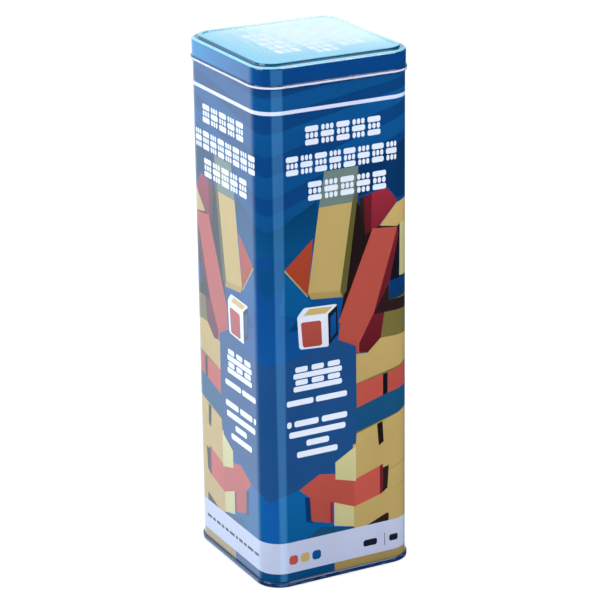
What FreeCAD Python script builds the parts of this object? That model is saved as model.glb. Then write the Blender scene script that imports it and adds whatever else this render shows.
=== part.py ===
"""Colour tumbling tower in its tin: a tall square tinplate tin with a seamed-on base and a
slip-on lid, holding 48 wooden blocks, a colour die and a folded rules leaflet.

Millimetres. +Z is up, and the origin is the middle of the foot, on the surface that it stands on.
"""
import FreeCAD, Part
import math
import os
import Sketcher

V = FreeCAD.Vector
LAYERS = 16
BLOCKS_PER_LAYER = 3
COLOURS = ("red", "yellow", "blue")

# Driving dimensions, in millimetres: name, value and meaning.
DRIVING = [
    ("block_length", 75.0, "wooden block, long side"),
    ("block_width", 24.9, "wooden block, middle side"),
    ("block_height", 14.9, "wooden block, short side"),
    ("block_chamfer", 0.5, "chamfer of the block's edges"),
    ("block_gap", 0.1, "gap between neighbouring blocks, and under each loose piece"),
    ("leaflet_inset", 3.5, "from the stack's sides to the leaflet on it"),
    ("leaflet_thickness", 1.4, "folded leaflet"),
    ("leaflet_round", 0.5, "rounding of the leaflet's folded edge"),
    ("die_side", 20.0, "wooden die"),
    ("die_round", 1.6, "rounding of the die's edges"),
    ("die_inset", 4.0, "from the leaflet's edges to the die"),
    ("side_room", 4.5, "from the stack to the outside of the tube, on each side"),
    ("head_room", 6.4, "from the die to the lid's panel above it"),
    ("corner_round", 12.0, "outside radius of the tube's upright corners"),
    ("sheet_gauge", 0.25, "thickness of the tinplate"),
    ("curl_radius", 0.9, "radius of the curl along the tube's mouth"),
    ("lock_seam_width", 5.0, "width of the lock seam up the back of the tube"),
    ("lock_seam_depth", 0.6, "how far the lock seam stands inside the tube"),
    ("seam_line_width", 0.35, "width of the fine groove beside the lock seam, outside"),
    ("seam_line_depth", 0.1, "depth of that groove"),
    ("rim_proud", 0.95, "how far the base's rim stands outside the tube"),
    ("rim_height", 2.6, "height of the base's rim"),
    ("rim_web", 0.6, "metal under the tube's foot, inside the rim"),
    ("rim_softening", 0.35, "rounding of the rim's outer edges"),
    ("seam_clearance", 0.05, "gap between the tube and the rim that grips it"),
    ("base_recess", 2.4, "height of the base panel's underside above the foot"),
    ("base_step_in", 8.0, "from the tube's inside to the step in the base panel"),
    ("base_step_rise", 0.6, "rise of that step, which the stack rests on"),
    ("lid_clearance", 0.15, "gap between the tube and the lid's skirt"),
    ("lid_seat_gap", 0.2, "gap between the mouth's curl and the lid that rests on it"),
    ("skirt_height", 11.1, "lid's skirt, from its foot to the top of the shoulder"),
    ("hem_height", 2.2, "height of the folded hem along the skirt's foot"),
    ("hem_proud", 0.6, "how far the hem stands outside the skirt"),
    ("hem_softening", 0.4, "rounding of the hem's outer edges"),
    ("shoulder_round", 1.4, "outside radius of the lid's shoulder"),
    ("groove_width", 1.8, "flat between the shoulder and the foot of the ridge"),
    ("ridge_rise", 1.2, "height of the ridge above the shoulder"),
    ("ridge_width", 2.4, "width of the ridge, at its foot"),
    ("ridge_lean", 25.0, "lean of the ridge's sides from upright, in degrees"),
    ("panel_dish", 0.5, "depth of the lid's panel below the ridge"),
]

# What follows from them. A name in _reach is half the width of a rounded square about the
# origin, and the same name in _round is its corner radius. A name in _level is a height. The
# tin is made to fit its contents: the stack gives its width, and the die on top its height.
DERIVED = [
    ("layer_pitch", "=block_height + block_gap"),
    ("block_pitch", "=block_width + block_gap"),
    ("layer_width", f"={BLOCKS_PER_LAYER} * block_pitch - block_gap"),
    ("stack_side", "=max(block_length; layer_width)"),
    ("leaflet_side", "=stack_side - 2 * leaflet_inset"),
    ("tube_reach", "=stack_side / 2 + side_room"),
    ("tube_round", "=corner_round"),
    ("bore_reach", "=tube_reach - sheet_gauge"),
    ("bore_round", "=tube_round - sheet_gauge"),
    ("base_level", "=base_recess + sheet_gauge"),
    ("floor_level", "=base_level + base_step_rise"),
    ("stack_level", "=floor_level + block_gap"),
    ("leaflet_level", f"=stack_level + {LAYERS} * layer_pitch"),
    ("die_level", "=leaflet_level + leaflet_thickness + block_gap"),
    ("panel_level", "=die_level + die_side + head_room + sheet_gauge"),
    ("ridge_level", "=panel_level + panel_dish"),
    ("shoulder_level", "=ridge_level - ridge_rise"),
    ("skirt_level", "=shoulder_level - skirt_height"),
    ("mouth_level", "=shoulder_level - sheet_gauge - lid_seat_gap"),
    ("tube_foot_level", "=rim_web + seam_clearance"),
    ("curl_reach", "=tube_reach - curl_radius"),
    ("curl_round", "=tube_round - curl_radius"),
    ("curl_level", "=mouth_level - curl_radius"),
    ("rim_reach", "=tube_reach + rim_proud"),
    ("rim_round", "=tube_round + rim_proud"),
    ("slot_outer_reach", "=tube_reach + seam_clearance"),
    ("slot_outer_round", "=tube_round + seam_clearance"),
    ("slot_inner_reach", "=bore_reach - seam_clearance"),
    ("slot_inner_round", "=bore_round - seam_clearance"),
    ("recess_reach", "=slot_inner_reach - sheet_gauge"),
    ("recess_round", "=slot_inner_round - sheet_gauge"),
    ("step_reach", "=bore_reach - base_step_in"),
    ("step_round", "=bore_round - base_step_in"),
    ("step_under_reach", "=step_reach - sheet_gauge"),
    ("step_under_round", "=step_round - sheet_gauge"),
    ("skirt_bore_reach", "=tube_reach + lid_clearance"),
    ("skirt_bore_round", "=tube_round + lid_clearance"),
    ("skirt_reach", "=skirt_bore_reach + sheet_gauge"),
    ("skirt_round", "=skirt_bore_round + sheet_gauge"),
    ("hem_reach", "=skirt_reach + hem_proud"),
    ("hem_round", "=skirt_round + hem_proud"),
    ("ridge_reach", "=skirt_reach - shoulder_round - groove_width"),
    ("ridge_round", "=skirt_round - shoulder_round - groove_width"),
    ("dish_reach", "=ridge_reach - ridge_width"),
    ("dish_round", "=ridge_round - ridge_width"),
    ("hollow_reach", "=ridge_reach - sheet_gauge"),
    ("hollow_round", "=ridge_round - sheet_gauge"),
]

doc = FreeCAD.newDocument("tumbling_tower_tin")
sheet = doc.addObject("Spreadsheet::Sheet", "Sizes")
rows = [(name, str(value), meaning) for name, value, meaning in DRIVING]
rows += [(name, formula, "") for name, formula in DERIVED]
for line, (name, content, meaning) in enumerate(rows, start=1):
    sheet.set(f"A{line}", name)
    sheet.set(f"B{line}", content)
    sheet.set(f"C{line}", meaning)
    sheet.setAlias(f"B{line}", name)
doc.recompute()


def value(name):
    """The present value of a cell."""
    return float(sheet.get(name))


def new_body(label):
    """An empty body. Its label names its file."""
    body = doc.addObject("PartDesign::Body", label)
    body.Label = label
    return body


def new_sketch(body, name, level=None, role="XY_Plane"):
    """A sketch on one of the body's own origin planes, raised to a level."""
    sketch = body.newObject("Sketcher::SketchObject", f"{body.Label}_{name}")
    plane = next(o for o in body.Origin.OriginFeatures if o.Role == role)
    sketch.AttachmentSupport = [(plane, "")]
    sketch.MapMode = "FlatFace"
    if level:
        sketch.setExpression("AttachmentOffset.Base.z", f"Sizes.{level}")
    return sketch


def rule(sketch, expression, *constraint):
    """Adds a dimension to a sketch and binds it to an expression."""
    index = sketch.addConstraint(Sketcher.Constraint(*constraint))
    sketch.setExpression(f"Constraints[{index}]", expression)


def rounded_square(sketch, ring, split=False):
    """Draws a rounded square about the origin, sized by NAME_reach and NAME_round. With split,
    its right side is two lines that meet on the X axis, where a pipe can start."""
    reach, corner = value(f"{ring}_reach"), value(f"{ring}_round")
    flat = reach - corner
    sides, arcs = [], []
    for quarter in range(4):
        turn = FreeCAD.Rotation(V(0, 0, 1), 90 * quarter)
        low = 0.0 if split and quarter == 0 else -flat
        line = Part.LineSegment(turn.multVec(V(reach, low, 0)), turn.multVec(V(reach, flat, 0)))
        sides.append(sketch.addGeometry(line, False))
        circle = Part.Circle(turn.multVec(V(flat, flat, 0)), V(0, 0, 1), corner)
        start = math.pi / 2 * quarter
        arcs.append(sketch.addGeometry(Part.ArcOfCircle(circle, start, start + math.pi / 2), False))
    last = sides[0]
    if split:
        last = sketch.addGeometry(Part.LineSegment(V(reach, -flat, 0), V(reach, 0, 0)), False)
        sketch.addConstraint(Sketcher.Constraint("Coincident", last, 2, sides[0], 1))
        sketch.addConstraint(Sketcher.Constraint("PointOnObject", last, 2, -1))
        sketch.addConstraint(Sketcher.Constraint("Vertical", last))
    for quarter in range(4):
        after = last if quarter == 3 else sides[quarter + 1]
        sketch.addConstraint(Sketcher.Constraint("Tangent", sides[quarter], 2, arcs[quarter], 1))
        sketch.addConstraint(Sketcher.Constraint("Tangent", arcs[quarter], 2, after, 1))
        way = "Horizontal" if quarter % 2 else "Vertical"
        sketch.addConstraint(Sketcher.Constraint(way, sides[quarter]))
    for arc in arcs[1:]:
        sketch.addConstraint(Sketcher.Constraint("Equal", arcs[0], arc))
    rule(sketch, f"Sizes.{ring}_round", "Radius", arcs[0], corner)
    rule(sketch, f"Sizes.{ring}_reach", "DistanceX", -1, 1, sides[0], 2, reach)
    rule(sketch, f"Sizes.{ring}_reach", "DistanceY", -1, 1, sides[1], 2, reach)
    rule(sketch, f"Sizes.{ring}_reach", "DistanceX", sides[2], 2, -1, 1, reach)
    rule(sketch, f"Sizes.{ring}_reach", "DistanceY", sides[3], 2, -1, 1, reach)


def rectangle(sketch, left, right, low, high):
    """Draws a rectangle whose four sides are placed by expressions, each with its value."""
    x0, x1, y0, y1 = (side[1] for side in (left, right, low, high))
    corners = [V(x0, y0, 0), V(x1, y0, 0), V(x1, y1, 0), V(x0, y1, 0)]
    lines = [
        sketch.addGeometry(Part.LineSegment(corners[n], corners[(n + 1) % 4]), False)
        for n in range(4)
    ]
    for n in range(4):
        sketch.addConstraint(Sketcher.Constraint("Coincident", lines[n], 2, lines[(n + 1) % 4], 1))
        way = "Vertical" if n % 2 else "Horizontal"
        sketch.addConstraint(Sketcher.Constraint(way, lines[n]))
    rule(sketch, left[0], "DistanceX", -1, 1, lines[0], 1, x0)
    rule(sketch, right[0], "DistanceX", -1, 1, lines[0], 2, x1)
    rule(sketch, low[0], "DistanceY", -1, 1, lines[0], 1, y0)
    rule(sketch, high[0], "DistanceY", -1, 1, lines[2], 1, y1)


def sketch_circle(sketch, centre, radius):
    """Adds a circle to a sketch."""
    return sketch.addGeometry(Part.Circle(centre, V(0, 0, 1), radius), False)


def grow(body, name, rings, level, length, lean=None):
    """Pads one rounded square, or the ring between two, upwards from a level."""
    sketch = new_sketch(body, name, level)
    for ring in rings:
        rounded_square(sketch, ring)
    pad = body.newObject("PartDesign::Pad", f"{body.Label}_{name}_pad")
    pad.Profile = sketch
    pad.setExpression("Length", length)
    if lean:
        pad.setExpression("TaperAngle", lean)
    doc.recompute()
    return pad


def cut(body, name, rings, level, length, upwards, lean=None):
    """Pockets one rounded square, or the ring between two, and checks that it removed metal."""
    before = body.Shape.Volume
    sketch = new_sketch(body, name, level)
    for ring in rings:
        rounded_square(sketch, ring)
    pocket = body.newObject("PartDesign::Pocket", f"{body.Label}_{name}_pocket")
    pocket.Profile = sketch
    pocket.Type = "Length"
    pocket.Reversed = upwards
    pocket.setExpression("Length", length)
    if lean:
        pocket.setExpression("TaperAngle", lean)
    doc.recompute()
    if body.Shape.Volume >= before:
        raise RuntimeError(f"{pocket.Name} removes nothing")
    return pocket


def edges_at(shape, level, reach=None):
    """Names of the edges that lie at a height and, if a reach is given, round that square."""
    near = 1e-4
    found = []
    for number, edge in enumerate(shape.Edges, start=1):
        box = edge.BoundBox
        flat_at_level = abs(box.ZMin - level) < near and abs(box.ZMax - level) < near
        furthest = max(abs(box.XMin), abs(box.XMax), abs(box.YMin), abs(box.YMax))
        if flat_at_level and (reach is None or abs(furthest - reach) < near):
            found.append(f"Edge{number}")
    return found


def soften(body, name, places, radius):
    """Fillets the edges at each (level, reach) of the body as it stands."""
    tip = body.Tip
    names = [e for level, reach in places for e in edges_at(tip.Shape, level, reach)]
    if not names:
        raise RuntimeError(f"{body.Label} has no edges for {name}")
    fillet = body.newObject("PartDesign::Fillet", f"{body.Label}_{name}")
    fillet.Base = (tip, names)
    fillet.setExpression("Radius", radius)
    doc.recompute()
    return fillet


def make_tin_body():
    """Tube of one rolled sheet: curled mouth, and a lock seam up the back."""
    body = new_body("tin_body")
    wall = "Sizes.mouth_level - Sizes.curl_radius - Sizes.tube_foot_level"
    grow(body, "wall", ("tube", "bore"), "tube_foot_level", wall)

    path = new_sketch(body, "curl_path", "curl_level")
    rounded_square(path, "curl", split=True)
    ring = new_sketch(body, "curl_section", role="XZ_Plane")
    centre = V(value("curl_reach"), value("curl_level"), 0)
    circle = sketch_circle(ring, centre, value("curl_radius"))
    rule(ring, "Sizes.curl_reach", "DistanceX", -1, 1, circle, 3, centre.x)
    rule(ring, "Sizes.curl_level", "DistanceY", -1, 1, circle, 3, centre.y)
    rule(ring, "Sizes.curl_radius", "Radius", circle, value("curl_radius"))
    curl = body.newObject("PartDesign::AdditivePipe", "tin_body_curl")
    curl.Profile = ring
    curl.Spine = (path, [])
    curl.Mode = "Standard"
    doc.recompute()

    half = value("lock_seam_width") / 2
    bore, wall_face = value("bore_reach"), value("tube_reach")
    seam = new_sketch(body, "lock_seam", "floor_level")
    rectangle(seam,
              ("-Sizes.lock_seam_width / 2", -half),
              ("Sizes.lock_seam_width / 2", half),
              ("Sizes.bore_reach - Sizes.lock_seam_depth", bore - value("lock_seam_depth")),
              ("Sizes.bore_reach + Sizes.sheet_gauge / 2", bore + value("sheet_gauge") / 2))
    pad = body.newObject("PartDesign::Pad", "tin_body_lock_seam_pad")
    pad.Profile = seam
    pad.setExpression("Length", "Sizes.curl_level - Sizes.curl_radius - Sizes.floor_level")
    doc.recompute()

    before = body.Shape.Volume
    line = new_sketch(body, "seam_line", "tube_foot_level")
    rectangle(line,
              ("Sizes.lock_seam_width / 2", half),
              ("Sizes.lock_seam_width / 2 + Sizes.seam_line_width",
               half + value("seam_line_width")),
              ("Sizes.tube_reach - Sizes.seam_line_depth", wall_face - value("seam_line_depth")),
              ("Sizes.tube_reach + Sizes.seam_line_depth", wall_face + value("seam_line_depth")))
    groove = body.newObject("PartDesign::Pocket", "tin_body_seam_line_pocket")
    groove.Profile = line
    groove.Type = "Length"
    groove.Reversed = True
    groove.setExpression("Length", "Sizes.curl_level - Sizes.tube_foot_level")
    doc.recompute()
    if body.Shape.Volume >= before:
        raise RuntimeError("the seam line removes nothing")
    return body


def make_tin_base():
    """Stamped base: a proud rim with a slot that grips the tube, and a raised panel inside it."""
    body = new_body("tin_base")
    grow(body, "panel", ("slot_inner",), None, "Sizes.base_level")
    grow(body, "rim", ("rim",), None, "Sizes.rim_height")
    soften(body, "rim_edges",
           [(0.0, value("rim_reach")), (value("rim_height"), value("rim_reach"))],
           "Sizes.rim_softening")
    cut(body, "slot", ("slot_outer", "slot_inner"), "rim_web",
        "Sizes.rim_height + Sizes.base_level", True)
    grow(body, "step", ("step",), "base_recess", "Sizes.floor_level - Sizes.base_recess")
    cut(body, "recess", ("recess",), "base_recess", "Sizes.base_recess", False)
    cut(body, "step_underside", ("step_under",), "base_recess", "Sizes.base_step_rise", True)
    return body


def make_lid():
    """Drawn lid: folded hem, rounded shoulder, groove, ridge and a flat panel inside it."""
    body = new_body("lid")
    grow(body, "skirt", ("skirt",), "skirt_level", "Sizes.skirt_height")
    cut(body, "bore", ("skirt_bore",), "skirt_level", "Sizes.skirt_height - Sizes.sheet_gauge", True)
    soften(body, "inner_shoulder",
           [(value("shoulder_level") - value("sheet_gauge"), value("skirt_bore_reach"))],
           "Sizes.shoulder_round - Sizes.sheet_gauge")
    soften(body, "shoulder", [(value("shoulder_level"), value("skirt_reach"))],
           "Sizes.shoulder_round")
    grow(body, "hem", ("hem", "skirt_bore"), "skirt_level", "Sizes.hem_height")
    soften(body, "hem_edges",
           [(value("skirt_level"), value("hem_reach")),
            (value("skirt_level") + value("hem_height"), value("hem_reach"))],
           "Sizes.hem_softening")
    grow(body, "ridge", ("ridge",), "shoulder_level", "Sizes.ridge_rise", "-Sizes.ridge_lean")
    cut(body, "hollow", ("hollow",), "skirt_level",
        "Sizes.panel_level - Sizes.sheet_gauge - Sizes.skirt_level", True)
    cut(body, "dish", ("dish",), "ridge_level", "Sizes.panel_dish", False)
    return body


def make_block(number, layer, place):
    """One wooden block, lying where it is packed. Layers turn by a quarter, one by one."""
    colour = COLOURS[(layer + place) % len(COLOURS)]
    body = new_body(f"block_{number:02d}_{colour}")
    box = body.newObject("PartDesign::AdditiveBox", f"{body.Label}_timber")
    for side, name in (("Length", "block_length"), ("Width", "block_width"),
                       ("Height", "block_height")):
        box.setExpression(side, f"Sizes.{name}")
    doc.recompute()
    edges = body.newObject("PartDesign::Chamfer", f"{body.Label}_edges")
    edges.Base = (box, [f"Edge{n + 1}" for n in range(len(box.Shape.Edges))])
    edges.setExpression("Size", "Sizes.block_chamfer")
    body.Tip = edges

    turned = layer % 2 == 1
    body.Placement = FreeCAD.Placement(V(), FreeCAD.Rotation(V(0, 0, 1), 90 if turned else 0))
    along = "-Sizes.block_length / 2"
    across = f"{place - (BLOCKS_PER_LAYER - 1) / 2} * Sizes.block_pitch"
    if turned:
        body.setExpression("Placement.Base.x", f"Sizes.block_width / 2 + {across}")
        body.setExpression("Placement.Base.y", along)
    else:
        body.setExpression("Placement.Base.x", along)
        body.setExpression("Placement.Base.y", f"{across} - Sizes.block_width / 2")
    body.setExpression("Placement.Base.z", f"Sizes.stack_level + {layer} * Sizes.layer_pitch")
    return body


def make_leaflet():
    """Folded rules leaflet, flat on the stack, with its fold on the left."""
    body = new_body("rules_leaflet")
    box = body.newObject("PartDesign::AdditiveBox", "rules_leaflet_paper")
    for side, name in (("Length", "leaflet_side"), ("Width", "leaflet_side"),
                       ("Height", "leaflet_thickness")):
        box.setExpression(side, f"Sizes.{name}")
    doc.recompute()
    fold = body.newObject("PartDesign::Chamfer", "rules_leaflet_fold")
    left = [
        f"Edge{n}" for n, edge in enumerate(box.Shape.Edges, start=1)
        if edge.BoundBox.XMax < 1e-4 and edge.BoundBox.YLength > 1
    ]
    fold.Base = (box, left)
    fold.setExpression("Size", "Sizes.leaflet_round")
    body.Tip = fold
    body.setExpression("Placement.Base.x", "-Sizes.leaflet_side / 2")
    body.setExpression("Placement.Base.y", "-Sizes.leaflet_side / 2")
    body.setExpression("Placement.Base.z", "Sizes.leaflet_level")
    return body


def make_die():
    """Colour die, lying loose on the leaflet in its front left corner."""
    body = new_body("colour_die")
    box = body.newObject("PartDesign::AdditiveBox", "colour_die_cube")
    for side in ("Length", "Width", "Height"):
        box.setExpression(side, "Sizes.die_side")
    doc.recompute()
    edges = body.newObject("PartDesign::Fillet", "colour_die_edges")
    edges.Base = (box, [f"Edge{n + 1}" for n in range(len(box.Shape.Edges))])
    edges.setExpression("Radius", "Sizes.die_round")
    body.Tip = edges
    for way in "xy":
        body.setExpression(f"Placement.Base.{way}", "Sizes.die_inset - Sizes.leaflet_side / 2")
    body.setExpression("Placement.Base.z", "Sizes.die_level")
    return body


def check(bodies):
    """Stops the build if any object failed or any piece isn't one sound solid."""
    for item in doc.Objects:
        if "Invalid" in item.State or "Error" in item.State:
            raise RuntimeError(f"{item.Label} is {item.State}")
    for body in bodies:
        shape = body.Shape
        if shape.isNull() or not shape.isValid() or len(shape.Solids) != 1:
            raise RuntimeError(f"{body.Label} isn't one sound solid")


pieces = [make_tin_body(), make_tin_base(), make_lid()]
for layer in range(LAYERS):
    for place in range(BLOCKS_PER_LAYER):
        number = layer * BLOCKS_PER_LAYER + place + 1
        pieces.append(make_block(number, layer, place))
pieces += [make_leaflet(), make_die()]
doc.recompute()
check(pieces)

os.makedirs("parts", exist_ok=True)
for piece in pieces:
    piece.Shape.exportStep(f"parts/{piece.Label}.step")
    print(f"{piece.Label:18s} {piece.Shape.Volume / 1000:9.3f} cm3")
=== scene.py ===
"""Visual model of a colour tumbling tower in its tin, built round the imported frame.

The printed tube, its curled mouth, the seamed base and the slip-on lid replace their plain
solids. The wooden blocks and the die keep theirs and are painted. Everything is in metres.
"""
import math

import bpy
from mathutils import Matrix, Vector
from mathutils.geometry import delaunay_2d_cdt


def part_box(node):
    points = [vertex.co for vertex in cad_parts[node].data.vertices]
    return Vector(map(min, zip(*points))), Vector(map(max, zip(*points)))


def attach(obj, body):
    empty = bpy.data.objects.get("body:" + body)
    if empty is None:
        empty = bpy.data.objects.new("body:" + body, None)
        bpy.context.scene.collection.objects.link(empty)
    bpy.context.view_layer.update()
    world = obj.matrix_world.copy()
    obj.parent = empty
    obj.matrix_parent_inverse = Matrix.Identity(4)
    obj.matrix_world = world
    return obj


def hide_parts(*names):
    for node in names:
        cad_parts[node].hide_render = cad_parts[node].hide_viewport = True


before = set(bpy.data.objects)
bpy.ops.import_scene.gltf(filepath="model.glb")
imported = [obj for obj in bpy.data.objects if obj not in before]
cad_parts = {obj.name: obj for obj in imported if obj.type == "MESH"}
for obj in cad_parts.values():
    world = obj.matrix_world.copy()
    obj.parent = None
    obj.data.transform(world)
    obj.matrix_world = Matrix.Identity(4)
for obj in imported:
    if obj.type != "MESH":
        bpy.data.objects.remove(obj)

bl_info = {
    "name": "Tumbling tower tin",
    "version": (1, 0, 0),
    "blender": (4, 5, 0),
    "location": "3D View > Sidebar > Tower",
    "description": "Builds a printed tin with its wooden blocks, colour die and folded leaflet",
    "category": "Object",
}

MM = 0.001
POINTS_PER_METRE = 1e7
CREASE = math.radians(40.0)
PLAIN = (1.0, 1.0, 1.0)
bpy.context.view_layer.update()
TUBE_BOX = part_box("tin_body")
BASE_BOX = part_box("tin_base")
LID_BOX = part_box("lid")
LEAFLET_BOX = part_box("rules_leaflet")
DIE_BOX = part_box("colour_die")
BLOCK_NODES = sorted(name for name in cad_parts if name.startswith("block_"))

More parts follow.
